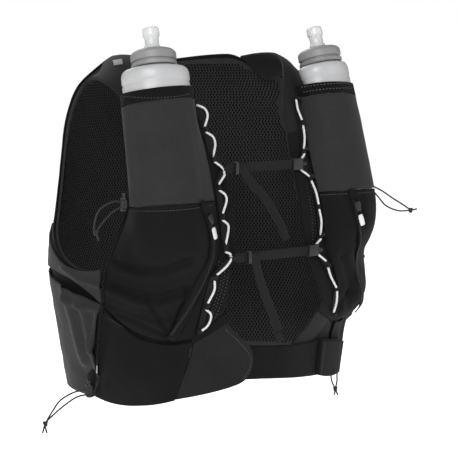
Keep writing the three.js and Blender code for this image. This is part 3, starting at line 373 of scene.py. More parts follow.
knitGroup, ribGroup, wearGroup = makeKnitGroup(), makeRibGroup(), makeWearGroup()


# Cloth finishes: greys of the cloth and of its lighter threads, and how they catch the light
clothColumns = ("base", "thread", "threads", "show", "relief", "depth", "sheen", "shine", "ribs",
                "ribAxis")
clothLooks = {
    "stretchKnit": (0.0075, 0.034, 1500, 1.0, 0.25, 0.0003, 0.05, 0.13, 0, (1, 0, 0)),
    "wingKnit": (0.0038, 0.020, 1500, 1.0, 0.25, 0.0003, 0.03, 0.10, 0, (1, 0, 0)),
    "blackKnit": (0.0016, 0.011, 1300, 0.8, 0.3, 0.0003, 0.02, 0.08, 0, (1, 0, 0)),
    "gatheredElastic": (0.0016, 0.011, 1000, 0.7, 0.5, 0.0006, 0.02, 0.09, 520, (0.94, 0.34, 0)),
    "wovenWebbing": (0.0042, 0.021, 1100, 0.8, 0.5, 0.0005, 0.02, 0.15, 900, (0.6, 0, 0.8)),
    "liningMesh": (0.0080, 0.038, 900, 0.9, 0.6, 0.0006, 0.03, 0.14, 0, (1, 0, 0)),
    "bungeeCover": (0.0060, 0.05, 1700, 1.0, 0.6, 0.0003, 0.04, 0.3, 900, (0.7, 0, 0.7)),
    "brightLace": (0.50, 0.90, 1500, 1.2, 0.6, 0.0004, 0.0, 0.5, 620, (0.4, 0, 0.9)),
    "stitchThread": (0.05, 0.14, 2600, 1.0, 0.4, 0.0002, 0.0, 0.3, 0, (1, 0, 0)),
    "paleThread": (0.10, 0.28, 2600, 1.0, 0.4, 0.0002, 0.0, 0.3, 0, (1, 0, 0)),
    "holeShade": (0.0012, 0.006, 2600, 0.4, 0.1, 0.0001, 0.0, 0.02, 0, (1, 0, 0)),
}


def newMaterial(name):
    material = bpy.data.materials.new(name)
    material.use_nodes = True
    return material, material.node_tree, material.node_tree.nodes["Principled BSDF"]


def makeCloth(name, row):
    look = dict(zip(clothColumns, row))
    material, tree, shader = newMaterial(name)
    knit = useGroup(tree, knitGroup, {
        "Colour": grey(look["base"]), "Light Thread": grey(look["thread"]),
        "Threads per metre": look["threads"], "Thread Show": look["show"]})
    colour = useGroup(tree, wearGroup, {
        "Colour": knit["Colour"], "Worn": grey(look["thread"] * 0.8), "Amount": 0.18})["Colour"]
    height = knit["Height"]
    if look["ribs"]:
        ribs = useGroup(tree, ribGroup, {
            "Direction": look["ribAxis"], "Ribs per metre": look["ribs"], "Waver": 0.5})["Mask"]
        height = calc(tree, "MULTIPLY_ADD", ribs, 1.6, height)
        # Painted shade: the grooves between the ribs, where the rib height is lowest, are mixed up
        # to 35 % towards a darker grey
        shade = calc(tree, "MULTIPLY_ADD", ribs, -0.35, 0.35)
        colour = mixColour(tree, shade, colour, grey(look["base"] * 0.35))
    bump = addNode(tree, "ShaderNodeBump", {
        "Height": height, "Strength": look["relief"], "Distance": look["depth"]})[0]
    fillInputs(tree, shader, {
        "Base Color": colour, "Roughness": knit["Rough"], "Normal": bump,
        "Sheen Weight": look["sheen"], "Sheen Roughness": 0.5,
        "Specular IOR Level": look["shine"]})
    return material


# Moulded finishes: how rough they are, how much light goes through, and the grain's relief
mouldedColumns = ("colour", "worn", "rough", "through", "grain", "depth")
mouldedLooks = {
    "lockPlastic": (grey(0.008), grey(0.03), 0.42, 0.0, 900, 0.00015),
    "capGrey": (grey(0.20, 1.01), grey(0.33), 0.46, 0.0, 500, 0.0001),
    "softFlask": ((0.50, 0.505, 0.51, 1), grey(0.62), 0.34, 0.25, 160, 0.0003),
    "clearValve": ((0.78, 0.785, 0.79, 1), grey(0.88), 0.25, 0.35, 220, 0.0002),
    "whitePull": (grey(0.62), grey(0.45), 0.40, 0.0, 700, 0.0001),
    "bareLabel": (grey(0.075), grey(0.05), 0.5, 0.0, 900, 0.0001),
}


def makeMoulded(name, row):
    look = dict(zip(mouldedColumns, row))
    material, tree, shader = newMaterial(name)
    worn = useGroup(tree, wearGroup, {
        "Colour": look["colour"], "Worn": look["worn"], "Amount": 0.35})
    grain = cloudy(tree, objectSpot(tree), look["grain"], 3.0)
    bump = addNode(tree, "ShaderNodeBump", {
        "Height": grain, "Strength": 0.35, "Distance": look["depth"]})[0]
    fillInputs(tree, shader, {
        "Base Color": worn["Colour"], "Normal": bump,
        "Roughness": calc(tree, "MULTIPLY_ADD", grain, 0.18, look["rough"] - 0.09),
        "Transmission Weight": look["through"], "IOR": 1.45})
    return material


finish = {name: makeCloth(name, row) for name, row in clothLooks.items()}
finish.update({name: makeMoulded(name, row) for name, row in mouldedLooks.items()})
print("finishes made")


# Folds, as lines in the photograph's frame: places, half width in pixels, height in metres
foldLines = {
    "zip_pocket_r": [
        ([(116, 262), (140, 269), (165, 269), (190, 259)], 3.2, -0.0014),
        ([(115, 269), (139, 277), (165, 278), (190, 268)], 4.0, 0.0013),
        ([(110, 284), (135, 293), (160, 298), (186, 289)], 3.2, -0.0013),
        ([(110, 291), (133, 301), (158, 307), (182, 299)], 4.0, 0.0013),
        ([(105, 304), (130, 313), (155, 320), (172, 318)], 3.0, -0.0010),
        ([(171, 337), (158, 318), (148, 299)], 2.6, -0.0012),
        ([(171, 337), (179, 315), (188, 292)], 2.6, -0.0012),
        ([(168, 337), (142, 324), (116, 313)], 2.6, -0.0012),
        ([(138, 214), (128, 235), (121, 258)], 5.0, 0.0008),
    ],
    "zip_pocket_l": [
        ([(330, 215), (326, 240), (329, 264)], 3.0, -0.0008),
        ([(343, 256), (351, 280), (349, 305)], 3.4, -0.0012),
        ([(349, 254), (358, 280), (357, 300)], 3.4, 0.0011),
        ([(362, 190), (363, 215), (358, 240)], 3.0, -0.0008),
        ([(336, 318), (343, 300), (352, 290)], 2.6, -0.0010),
    ],
    "side_panel_r": [
        ([(66, 288), (76, 322), (85, 362)], 4.2, 0.0026),
        ([(72, 282), (86, 318), (93, 350)], 3.4, 0.0018),
        ([(100, 316), (92, 342), (95, 372)], 3.6, 0.0022),
        ([(64, 296), (80, 306), (97, 310)], 3.0, 0.0016),
    ],
    "side_band_r": [([(64, 268), (80, 280), (100, 286)], 3.0, 0.0012)],
    "waist_pocket_r": [
        ([(106, 322), (102, 348), (98, 386)], 4.5, -0.0008),
        ([(150, 348), (146, 372), (140, 402)], 8.0, -0.0007),
        ([(112, 318), (140, 328), (168, 340)], 3.0, 0.0010),
    ],
    "belt_wing_r": [([(203, 346), (218, 364), (236, 380)], 8.0, -0.0007)],
    "flask_pocket_r": [
        ([(134, 112), (131, 150), (136, 196)], 5.0, -0.0006),
        ([(190, 112), (198, 150), (204, 196)], 4.0, -0.0006),
    ],
}
foldStrength = 3.0
wrinkles = {"size": 0.020, "height": 0.0009, "fine": 0.007, "fineHeight": 0.0002}
bodyOval = {"wide": 0.19, "deep": 0.135, "middleY": -0.02}


def bodyOut(places):
    out = np.stack([places[:, 0] / bodyOval["wide"]**2,
                    (places[:, 1] - bodyOval["middleY"]) / bodyOval["deep"]**2,
                    np.zeros(len(places))], axis=1)
    return out / np.maximum(np.linalg.norm(out, axis=1), 1e-6)[:, None]


def lineDistance(spots, line):
    best = np.full(len(spots), 1e9)
    for (ax, ay), (bx, by) in zip(line, line[1:]):
        way = np.array([bx - ax, by - ay])
        share = np.clip(((spots - [ax, ay]) @ way) / (way @ way), 0, 1)
        near = np.array([ax, ay]) + share[:, None] * way
        best = np.minimum(best, np.linalg.norm(spots - near, axis=1))
    return best


def foldHeight(node, places):
    lines, seen = foldLines.get(node), places
    if lines is None and node.endswith("_l"):
        lines, seen = foldLines.get(f"{node[:-2]}_r"), places * np.array([-1, 1, 1])
    height = np.zeros(len(places))
    spots = pixelsOf(seen)
    for line, width, rise in lines or []:
        height += foldStrength * rise * np.exp(-((lineDistance(spots, line) / width) ** 2))
    return height


def wrinkleHeight(places):
    height = np.zeros(len(places))
    for i, place in enumerate(places):
        spot = Vector(place)
        height[i] = noise.noise(spot / wrinkles["size"]) * wrinkles["height"]
        height[i] += noise.noise(spot / wrinkles["fine"]) * wrinkles["fineHeight"]
    return height


# Small moves that close seams: which places move, and the move in metres
seamMoves = {
    "back_shell": ("neckline", (0, 0, -0.0065)),
    "mesh_lining": ("neckline", (0, 0, -0.0065)),
    "belt_elastic": ("rightEnd", (-0.010, 0.0026, 0)),
    "belt_wing_r": ("seamEdge", (-0.0016, 0, 0)),
    "belt_wing_l": ("seamEdge", (0.0016, 0, 0)),
}
neckline = {"fromZ": -0.075, "rise": 0.055, "fromY": 0.02, "deep": 0.03, "wide": 0.052}
beltEnd = {"fromX": -0.013, "reach": 0.011}
wingEdge = {"share": 0.93, "reach": 0.006}

# Edges drawn together where the view shows a gap: pixel, reach in pixels, metres right and up
edgePulls = {
    "back_shell": ((277, 80), 16, 0.021, 0.005),
    "mesh_lining": ((277, 80), 16, 0.021, 0.005),
    "side_panel_r": ((95, 376), 18, 0.0075, 0.0),
}


def seamShare(kind, places):
    x, y, z = places.T
    if kind == "neckline":
        high = np.clip((z - neckline["fromZ"]) / neckline["rise"], 0, 1)
        back = np.clip((y - neckline["fromY"]) / neckline["deep"], 0, 1)
        return high * high * back * np.exp(-((x / neckline["wide"]) ** 2))
    if kind == "rightEnd":
        return np.clip((beltEnd["fromX"] - x) / beltEnd["reach"], 0, 1)
    edge = np.abs(x).max() * wingEdge["share"]
    return np.clip((np.abs(x) - edge) / wingEdge["reach"], 0, 1)


def meshPlaces(mesh):
    flat = np.empty(len(mesh.vertices) * 3, np.float32)
    mesh.vertices.foreach_get("co", flat)
    return flat.reshape(-1, 3).astype(float)


def setPlaces(mesh, places):
    mesh.vertices.foreach_set("co", places.astype(np.float32).ravel())
    mesh.update()


def shadeSmooth(mesh):
    mesh.polygons.foreach_set("use_smooth", [True] * len(mesh.polygons))


def settled(thing):
    reading = thing.evaluated_get(bpy.context.evaluated_depsgraph_get())
    mesh = bpy.data.meshes.new_from_object(reading)
    thing.modifiers.clear()
    thing.data = mesh


# Turns in radians up to which faces are joined, and from which edges are creased, bevelled
# or shaded sharp
clothMake = {"joined": 0.7, "shaped": 1.2, "creased": 0.9}
mouldedMake = {"flat": 0.03, "bevelled": 0.6, "sharp": 0.7}


def reshaped(node, name, change):
    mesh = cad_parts[node].data.copy()
    work = bmesh.new()
    work.from_mesh(mesh)
    bmesh.ops.remove_doubles(work, verts=work.verts, dist=1e-6)
    change(work)
    work.to_mesh(mesh)
    work.free()
    return addObject(name, mesh)


def creasedCloth(work):
    bmesh.ops.join_triangles(work, faces=work.faces, angle_face_threshold=clothMake["joined"],
                             angle_shape_threshold=clothMake["shaped"])
    crease = work.edges.layers.float.new("crease_edge")
    for edge in work.edges:
        if len(edge.link_faces) == 2 and edge.calc_face_angle() > clothMake["creased"]:
            edge[crease] = 1.0


def cleanFlats(work):
    bmesh.ops.dissolve_limit(work, angle_limit=mouldedMake["flat"], verts=work.verts,
                             edges=work.edges)


def clothPiece(node, name, level, wrinkled):
    made = reshaped(node, name, creasedCloth)
    finer = made.modifiers.new("finer", "SUBSURF")
    finer.levels = finer.render_levels = level
    settled(made)
    places = meshPlaces(made.data)
    push = foldHeight(node, places) + wrinkleHeight(places) * wrinkled
    places = places + bodyOut(places) * push[:, None]
    if node in seamMoves:
        kind, move = seamMoves[node]
        places = places + seamShare(kind, places)[:, None] * np.array(move)
    if node in edgePulls:
        spot, reach, right, up = edgePulls[node]
        near = np.exp(-((np.linalg.norm(pixelsOf(places) - spot, axis=1) / reach) ** 2))
        places = places + near[:, None] * np.array(viewRight * right + viewUp * up)
    setPlaces(made.data, places)
    shadeSmooth(made.data)
    return made


def mouldedPiece(node, name, edge, segments):
    made = reshaped(node, name, cleanFlats)
    rounded = made.modifiers.new("rounded", "BEVEL")
    rounded.width = edge
    rounded.segments = segments
    rounded.limit_method = "ANGLE"
    rounded.angle_limit = mouldedMake["bevelled"]
    settled(made)
    shadeSmooth(made.data)
    made.data.set_sharp_from_angle(angle=mouldedMake["sharp"])
    return made


def dress(piece, material, slotName, body, *nodes):
    piece.data.materials.clear()
    piece.data.materials.append(finish[material])
    for polygon in piece.data.polygons if piece.type == "MESH" else []:
        polygon.material_index = 0
    if nodes:
        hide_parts(*nodes)
    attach(piece, body)
    return piece


# Cloth pieces: finish, record slot, subdivisions, wrinkling, flat size in metres, how the
# piece is held and what it rests on
clothCuts = {
    "yoke": ("wingKnit", "stretch_cloth", 3, 0.5, (0.065, 0.20), "stretched", "chest_panel"),
    "chest_panel": ("blackKnit", "black_cloth", 3, 0.5, (0.125, 0.29), "stretched", "yoke"),
    "flask_hem": ("gatheredElastic", "elastic", 3, 0.3, (0.16, 0.014), "gathered", "flask_pocket"),
    "flask_pocket": ("stretchKnit", "stretch_cloth", 3, 0.4, (0.155, 0.105), "stretched",
                     "chest_panel"),
    "zip_pocket": ("blackKnit", "black_cloth", 3, 1.0, (0.14, 0.14), "gathered", "chest_panel"),
    "side_band": ("stretchKnit", "stretch_cloth", 3, 1.0, (0.12, 0.036), "stretched",
                  "side_panel"),
    "side_panel": ("stretchKnit", "stretch_cloth", 3, 1.0, (0.135, 0.14), "gathered", "side_band"),
    "waist_pocket": ("blackKnit", "black_cloth", 3, 0.8, (0.10, 0.09), "stretched", "side_panel"),
    "belt_wing": ("wingKnit", "stretch_cloth", 3, 0.6, (0.08, 0.07), "stretched", "waist_pocket"),
    "belt_binding": ("blackKnit", "black_cloth", 3, 0.2, (0.035, 0.0145), "folded", "belt_wing"),
}
wholeCuts = {
    "back_shell": ("blackKnit", "black_cloth", 2, 0.6, (0.47, 0.38), "hung", "yoke_r"),
    "stash_pocket": ("stretchKnit", "stretch_cloth", 3, 1.2, (0.33, 0.138), "gathered",
                     "back_shell"),
    "belt_elastic": ("gatheredElastic", "elastic", 3, 0.2, (0.145, 0.041), "stretched",
                     "belt_wing_r"),
    "belt_tab": ("blackKnit", "black_cloth", 3, 0.2, (0.065, 0.05), "folded", "belt_elastic"),
    "mesh_lining": ("liningMesh", "mesh", 2, 0.2, (0.46, 0.375), "hung", "back_shell"),
}
pieces = {}
clothList = [(f"{part}_{side}", cut[:-1] + (f"{cut[-1]}_{side}",))
             for part, cut in clothCuts.items() for side in ("r", "l")]
for node, (look, slotName, level, wrinkled, flat, held, under) in (
        clothList + list(wholeCuts.items())):
    piece = clothPiece(node, f"{node}_cloth", level, wrinkled)
    pieces[node] = dress(piece, look, slotName, "vest", node)
print("cloth pieces made")


# Soft flasks, and caps and bite valves turned about the flask's own axis
flaskMake = {
    "chestHalfWidth": 0.188, "chestHalfDepth": 0.134, "vestLength": 0.395,
    "low": (0.649, 1.000, 0.456), "high": (0.601, 0.672, 0.051),
    "turn": 25.0, "neckDown": 0.068, "capRadius": 0.025, "capHeight": 0.021,
    "neckRadius": 0.0205, "valveRadius": 0.00925, "valveHeight": 0.031, "gap": 0.0004,
    "capRibs": 64, "ribDepth": 0.00035, "turnings": 192, "valveTurnings": 48,
    "width": 0.074, "depth": 0.0565, "length": 0.212, "aroundFlask": 96, "sharp": 0.9,
}
turnedSharp = 0.8


def flaskFrame(sign):
    def place(across, forward, down):
        return Vector((sign * across * flaskMake["chestHalfWidth"],
                       -forward * flaskMake["chestHalfDepth"], -down * flaskMake["vestLength"]))

    low, high = place(*flaskMake["low"]), place(*flaskMake["high"])
    axis = (high - low).normalized()
    neckZ = -flaskMake["neckDown"] * flaskMake["vestLength"]
    neck = low + axis * ((neckZ - low.z) / axis.z)
    turn = math.radians(flaskMake["turn"])
    facing = Vector((sign * math.sin(turn), -math.cos(turn), 0))
    front = (facing - axis * facing.dot(axis)).normalized()
    return Matrix.Translation(neck) @ Matrix((front.cross(axis).normalized(), front, axis)
                                             ).transposed().to_4x4()


def turned(name, profile, count, seat, ribs=0, ribDepth=0.0):
    corners, faces = [], []
    for k in range(count):
        turn = 2 * math.pi * k / count
        for radius, height, ribbed in profile:
            dip = ribDepth * ribbed * (0.5 + 0.5 * math.cos(turn * ribs)) if ribs else 0
            reach = radius - dip
            corners.append(seat @ Vector((reach * math.cos(turn), reach * math.sin(turn), height)))
    rows = len(profile)
    for k in range(count):
        after = (k + 1) % count
        for i in range(rows):
            j = (i + 1) % rows
            faces.append((k * rows + i, after * rows + i, after * rows + j, k * rows + j))
    return closedShape(name, corners, faces, sharpFrom=turnedSharp)


def capProfile():
    reach, tall = flaskMake["capRadius"], flaskMake["capHeight"]
    inner, stub = flaskMake["neckRadius"] + flaskMake["gap"], flaskMake["valveRadius"] * 0.6
    return [
        (inner, 0.0016, 0), (reach - 0.0008, 0.0016, 0), (reach, 0.0024, 0.3),
        (reach, tall * 0.24, 0.6), (reach - 0.0004, tall * 0.27, 0),
        (reach - 0.0022, tall * 0.29, 0), (reach - 0.0022, tall * 0.37, 0),
        (reach - 0.0006, tall * 0.39, 0), (reach, tall * 0.42, 0.4), (reach, tall * 0.46, 1),
        (reach, tall * 0.70, 1), (reach - 0.0002, tall * 0.75, 0.5),
        (reach * 0.96, tall * 0.81, 0), (reach * 0.88, tall * 0.90, 0),
        (reach * 0.80, tall * 0.945, 0), (reach * 0.78, tall * 0.93, 0),
        (reach * 0.75, tall * 0.93, 0), (reach * 0.73, tall * 0.955, 0),
        (reach * 0.5, tall * 0.995, 0), (stub * 1.3, tall, 0), (stub, tall + 0.0004, 0),
        (stub, tall + 0.006, 0), (stub * 0.53, tall + 0.006, 0), (stub * 0.53, 0.015, 0),
        (inner, 0.015, 0)]


def valveProfile():
    reach, tall = flaskMake["valveRadius"], flaskMake["valveHeight"]
    base = flaskMake["capHeight"] + flaskMake["gap"]
    shares = [(0.28, 0.64), (0.68, 0.24), (0.68, 0.004), (0.90, 0.004), (0.98, 0.03), (1.0, 0.07),
              (0.96, 0.11), (0.86, 0.145), (0.83, 0.17), (0.83, 0.38), (0.87, 0.42), (0.97, 0.46),
              (1.0, 0.50), (1.0, 0.55), (0.97, 0.70), (0.93, 0.74), (0.84, 0.775), (0.70, 0.79),
              (0.58, 0.785), (0.50, 0.765), (0.36, 0.75)]
    return [(reach * a, base + tall * b, 0) for a, b in shares]


# Along the flask from its neck, then width, front and back as shares
flaskRings = [
    (-0.005, 0.55, 0.70, 0.70), (0.001, 0.80, 0.86, 0.84), (0.006, 0.90, 0.93, 0.86),
    (0.014, 0.955, 0.965, 0.86), (0.026, 0.985, 0.99, 0.84), (0.040, 1.00, 1.00, 0.82),
    (0.070, 1.00, 1.00, 0.78),
    (0.078, 0.975, 0.975, 0.76), (0.084, 0.975, 0.975, 0.75), (0.092, 0.995, 0.995, 0.72),
    (0.140, 0.985, 0.985, 0.64), (0.200, 0.99, 0.99, 0.60), (0.400, 0.995, 0.995, 0.60),
    (0.550, 1.00, 1.00, 0.60), (0.760, 0.985, 0.92, 0.59), (0.880, 0.93, 0.68, 0.49),
    (0.960, 0.79, 0.35, 0.35), (0.999, 0.60, 0.11, 0.11)]
# The open neck above them: height and radius
neckRings = [(0.0018, 0.0205), (0.0128, 0.0205), (0.0128, 0.0175), (0.0, 0.0172)]


def loftFlask(name, seat):
    count = flaskMake["aroundFlask"]
    turns = [2 * math.pi * k / count for k in range(count)]
    rings = [[(reach * math.cos(turn), reach * math.sin(turn), height) for turn in turns]
             for height, reach in reversed(neckRings)]
    half = flaskMake["width"] / 2, flaskMake["depth"] / 2
    for along, wide, front, back in flaskRings:
        rings.append([(wide * half[0] * math.cos(turn),
                       (front if turn < math.pi else back) * half[1] * math.sin(turn),
                       -along * flaskMake["length"]) for turn in turns])
    corners = [seat @ Vector(place) for ring in rings for place in ring]
    faces = endFaces(len(rings), count) + ringFaces(len(rings), count)
    return closedShape(name, corners, faces, sharpFrom=flaskMake["sharp"])


for sign, side in ((-1, "r"), (1, "l")):
    seat = flaskFrame(sign)
    flask = loftFlask(f"flask_{side}_bottle", seat)
    dress(flask, "softFlask", "clear_plastic", "vest", f"flask_{side}")
    cap = turned(f"flask_cap_{side}_ribbed", capProfile(), flaskMake["turnings"], seat,
                 flaskMake["capRibs"], flaskMake["ribDepth"])
    dress(cap, "capGrey", "cap_plastic", "vest", f"flask_cap_{side}")
    valve = turned(f"bite_valve_{side}_soft", valveProfile(), flaskMake["valveTurnings"], seat)
    dress(valve, "clearValve", "clear_plastic", "vest", f"bite_valve_{side}")
print("flasks made")


# Webbing: the width and length that it is cut to, how it is held and what it is sewn to
webbingCuts = {
    "sternum_upper_strap": ((0.010, 0.100), "stretched", "lace_guide_r"),
    "sternum_lower_strap": ((0.010, 0.111), "stretched", "lace_guide_r"),
    "sternum_upper_tail": ((0.010, 0.106), "hung", "sternum_upper_strap"),
    "sternum_lower_tail": ((0.010, 0.110), "hung", "sternum_lower_strap"),
}
# Guides, zips, straps and buckles: finish, slot, steps, and the width of the bevelled edges,
# or nothing where the piece is smoothed like cloth
trims = {
    "lace_guide_{side}": ("wovenWebbing", "webbing", 2, 0.0002),
    "zip_{side}": ("blackKnit", "black_cloth", 2, None),
    "zip_slider_{side}": ("lockPlastic", "hard_plastic", 3, 0.0006),
    "zip_pull_{side}": ("whitePull", "reflective", 3, 0.0005),
    "sternum_{level}_strap": ("wovenWebbing", "webbing", 2, 0.0003),
    "sternum_{level}_tail": ("wovenWebbing", "webbing", 2, None),
    "sternum_{level}_buckle": ("lockPlastic", "hard_plastic", 3, 0.0007),
    "sternum_{level}_keeper": ("lockPlastic", "hard_plastic", 3, 0.0005),
}
for label, (look, slotName, steps, edge) in trims.items():
    for side, level in (("r", "upper"), ("l", "lower")):
        node = label.format(side=side, level=level)
        if edge:
            piece = mouldedPiece(node, f"{node}_trim", edge, steps)
        else:
            piece = clothPiece(node, f"{node}_trim", steps, 0.0)
        pieces[node] = dress(piece, look, slotName, "vest", node)
        if node in webbingCuts:
            flat, held, under = webbingCuts[node]
print("trims made")


# Cord locks and their buttons, then the cords
lockMake = {
    "radius": 0.0043, "height": 0.015, "bore": 0.0029, "floor": 0.00345, "ribs": 16,
    "ribDepth": 0.00045, "buttonRadius": 0.0026, "buttonFoot": 0.00685, "travel": 0.003,
    "ridges": 5, "turnings": 64, "buttonTurnings": 40,
}


def lockProfile():
    reach, tall, bore = lockMake["radius"], lockMake["height"], lockMake["bore"]
    ridges = []
    for i in range(lockMake["ridges"]):
        low = tall * (0.2 + i * 0.13)
        ridges += [(reach - 0.0005, low, 1), (reach, low + 0.0006, 1), (reach, low + 0.0012, 1),
                   (reach - 0.0005, low + 0.0017, 1)]
    return [(0.0001, lockMake["floor"], 0), (0.0001, 0.0, 0), (reach - 0.0008, 0.0, 0),
            (reach, 0.0008, 0), (reach, tall * 0.16, 0), *ridges, (reach, tall * 0.88, 0),
            (reach, tall - 0.0006, 0), (reach - 0.0005, tall, 0), (bore + 0.0003, tall, 0),
            (bore, tall - 0.0004, 0), (bore, lockMake["floor"], 0)]


def buttonProfile():
    reach, foot = lockMake["buttonRadius"], lockMake["buttonFoot"]
    top = lockMake["height"] + lockMake["travel"] + 0.0016
    return [(0.0001, foot, 0), (reach, foot, 0), (reach, top - 0.0009, 0),
            (reach * 0.93, top - 0.0004, 0), (reach * 0.78, top - 0.0001, 0),
            (reach * 0.5, top, 0), (0.0001, top, 0)]


for lockName in cordRoutes:
    foot = lockMiddle(f"{lockName}_lock") - Vector((0, 0, lockMake["height"] / 2))
    seat = Matrix.Translation(foot)
    barrel = turned(f"{lockName}_lock_barrel", lockProfile(), lockMake["turnings"], seat,
                    lockMake["ribs"], lockMake["ribDepth"])
    dress(barrel, "lockPlastic", "hard_plastic", "vest", f"{lockName}_lock")
    button = turned(f"{lockName}_button_top", buttonProfile(), lockMake["buttonTurnings"], seat)
    dress(button, "lockPlastic", "hard_plastic", f"{lockName}_button_body", f"{lockName}_button")

for name, knot, paths in cordPieces:
    _, part, side = name.split("_")
    dress(knot, "bungeeCover", "cord", "vest", f"{part}_cord_{side}")
    for strand, (curve, path) in paths.items():
        dress(curve, "bungeeCover", "cord", "vest", f"{part}_cord_{side}")
        print(f"{name} {strand} {pathLength(path) * 1000:.1f} mm")
print("locks and cords made")


# Stitches, dots, zip teeth and mesh holes: one small shape repeated at places on the cloth
def makeRepeatTree():
    tree = bpy.data.node_groups.new("repeatedShape", "GeometryNodeTree")
    for label, kind in (("Geometry", "Geometry"), ("Long", "Float"), ("Wide", "Float"),
                        ("Thick", "Float"), ("Sides", "Int"), ("Rings", "Int"),
                        ("Finish", "Material")):
        tree.interface.new_socket(name=label, in_out="INPUT", socket_type=f"NodeSocket{kind}")
    tree.interface.new_socket(name="Geometry", in_out="OUTPUT", socket_type="NodeSocketGeometry")
    given, result = tree.nodes.new("NodeGroupInput").outputs, tree.nodes.new("NodeGroupOutput")
    bead = addNode(tree, "GeometryNodeMeshUVSphere", {
        "Segments": given["Sides"], "Rings": given["Rings"], "Radius": 0.5})["Mesh"]
    size = addNode(tree, "ShaderNodeCombineXYZ", {
        0: given["Long"], 1: given["Wide"], 2: given["Thick"]})[0]
    shaped = addNode(tree, "GeometryNodeTransform", {"Geometry": bead, "Scale": size})[0]
    turn = addNode(tree, "GeometryNodeInputNamedAttribute", {"Name": "turn"},
                   data_type="FLOAT_VECTOR")[0]
    facing = addNode(tree, "FunctionNodeEulerToRotation", {0: turn})[0]
    placed = addNode(tree, "GeometryNodeInstanceOnPoints", {
        "Points": given["Geometry"], "Instance": shaped, "Rotation": facing})[0]
    real = addNode(tree, "GeometryNodeRealizeInstances", {"Geometry": placed})[0]
    rounded = addNode(tree, "GeometryNodeSetShadeSmooth", {"Geometry": real})[0]
    coated = addNode(tree, "GeometryNodeSetMaterial", {
        "Geometry": rounded, "Material": given["Finish"]})[0]
    tree.links.new(coated, result.inputs[0])
    return tree


repeatTree = makeRepeatTree()
repeatSockets = {item.name: item.identifier for item in repeatTree.interface.items_tree
                 if item.in_out == "INPUT"}


def repeatOn(name, spots, size, look, sides=6, rings=4):
    mesh = bpy.data.meshes.new(name)
    mesh.from_pydata([place for place, _, _ in spots], [], [])
    turns = mesh.attributes.new("turn", "FLOAT_VECTOR", "POINT")
    for i, (_, along, out) in enumerate(spots):
        lengthway = (along - out * along.dot(out)).normalized()
        axes = Matrix((lengthway, out.cross(lengthway), out)).transposed()
        turns.data[i].vector = axes.to_euler()
    made = addObject(name, mesh)
    repeat = made.modifiers.new("repeat", "NODES")
    repeat.node_group = repeatTree
    values = {"Long": size[0], "Wide": size[1], "Thick": size[2], "Sides": sides,
              "Rings": rings, "Finish": finish[look]}
    for label, value in values.items():
        repeat[repeatSockets[label]] = value
    settled(made)
    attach(made, "vest")


def surfaceOf(*names):
    corners, faces = [], []
    for name in names:
        mesh, start = pieces[name].data, len(corners)
        corners += [corner.co.copy() for corner in mesh.vertices]
        faces += [tuple(start + i for i in face.vertices) for face in mesh.polygons]
    return BVHTree.FromPolygons(corners, faces)


def seenOn(surface, pixel):
    way = pixelRay(pixel)
    spot, out, _, _ = surface.ray_cast(eyeSpot, way)
    if spot is not None and out.dot(way) > 0:
        out = -out
    return spot, out


# Places at even steps along a line, without those that would jump to another layer
lineMake = {"perStep": 24, "jump": 0.02}


def pixelPlaces(surface, pixels, step):
    hits = []
    for pixel in smoothPath([(x, y, 0) for x, y in pixels], lineMake["perStep"]):
        spot, out = seenOn(surface, pixel)
        if spot is not None and not (hits and (spot - hits[-1][0]).length > lineMake["jump"]):
            hits.append((spot, out))
    spots, carried = [], 0.0
    for (a, outA), (b, _) in zip(hits, hits[1:]):
        long = (b - a).length
        if long < 1e-7:
            continue
        while carried < long:
            spots.append((a.lerp(b, carried / long), (b - a).normalized(), outA))
            carried += step
        carried -= long
    return spots


# Holes of the spacer mesh inside the back, drawn as dark beads on the lining: painted shade in the
# openings, over the dark back behind them. Rows run round from the middle of the back to the last
# turn, and reach is the usual way from the vest's middle to the mesh
holeMake = {"across": 0.0043, "down": 0.0034, "size": (0.0038, 0.0021, 0.0007),
            "border": 0.0065, "top": -0.022, "bottom": -0.388, "middleY": -0.02,
            "reach": 0.11, "lastTurn": 2.0, "leastSlant": 0.4, "drop": 0.006}


def liningHoles():
    surface = surfaceOf("mesh_lining")
    halves = {"r": [], "l": []}
    rows = int((holeMake["top"] - holeMake["bottom"]) / holeMake["down"])
    for row in range(rows):
        middle = Vector((0, holeMake["middleY"], holeMake["top"] - row * holeMake["down"]))
        for sign, side in ((1, "l"), (-1, "r")):
            turn = row % 2 * 0.5 * holeMake["across"] / holeMake["reach"]
            while turn < holeMake["lastTurn"]:
                way = Vector((sign * math.sin(turn), math.cos(turn), 0))
                spot, out, _, reach = surface.ray_cast(middle, way)
                slant = 1
                if spot is not None:
                    slant = abs(out.dot(way))
                    if out.dot(way) > 0:
                        out = -out
                    sideways = Vector((0, 0, 1)).cross(out).normalized()
                    upward = out.cross(sideways)
                    fresh = turn > 0 or sign > 0
                    if fresh and allClear(surface, middle, spot, sideways, upward):
                        halves[side].append((spot, upward, out))
                turn += (holeMake["across"] * max(slant, holeMake["leastSlant"])
                         / (reach or holeMake["reach"]))
    return halves


def allClear(surface, middle, spot, sideways, upward):
    for way in (sideways, -sideways, upward, -upward):
        target = spot + way * holeMake["border"]
        hit = surface.ray_cast(middle, (target - middle).normalized())[0]
        if hit is None or (hit - target).length > holeMake["drop"]:
            return False
    return True


# Dark beads at the holes: painted shade in the openings of the spacer mesh
for side, spots in liningHoles().items():
    repeatOn(f"lining_holes_{side}", spots, holeMake["size"], "holeShade", 8, 3)
    print(f"lining holes {side}: {len(spots)}")


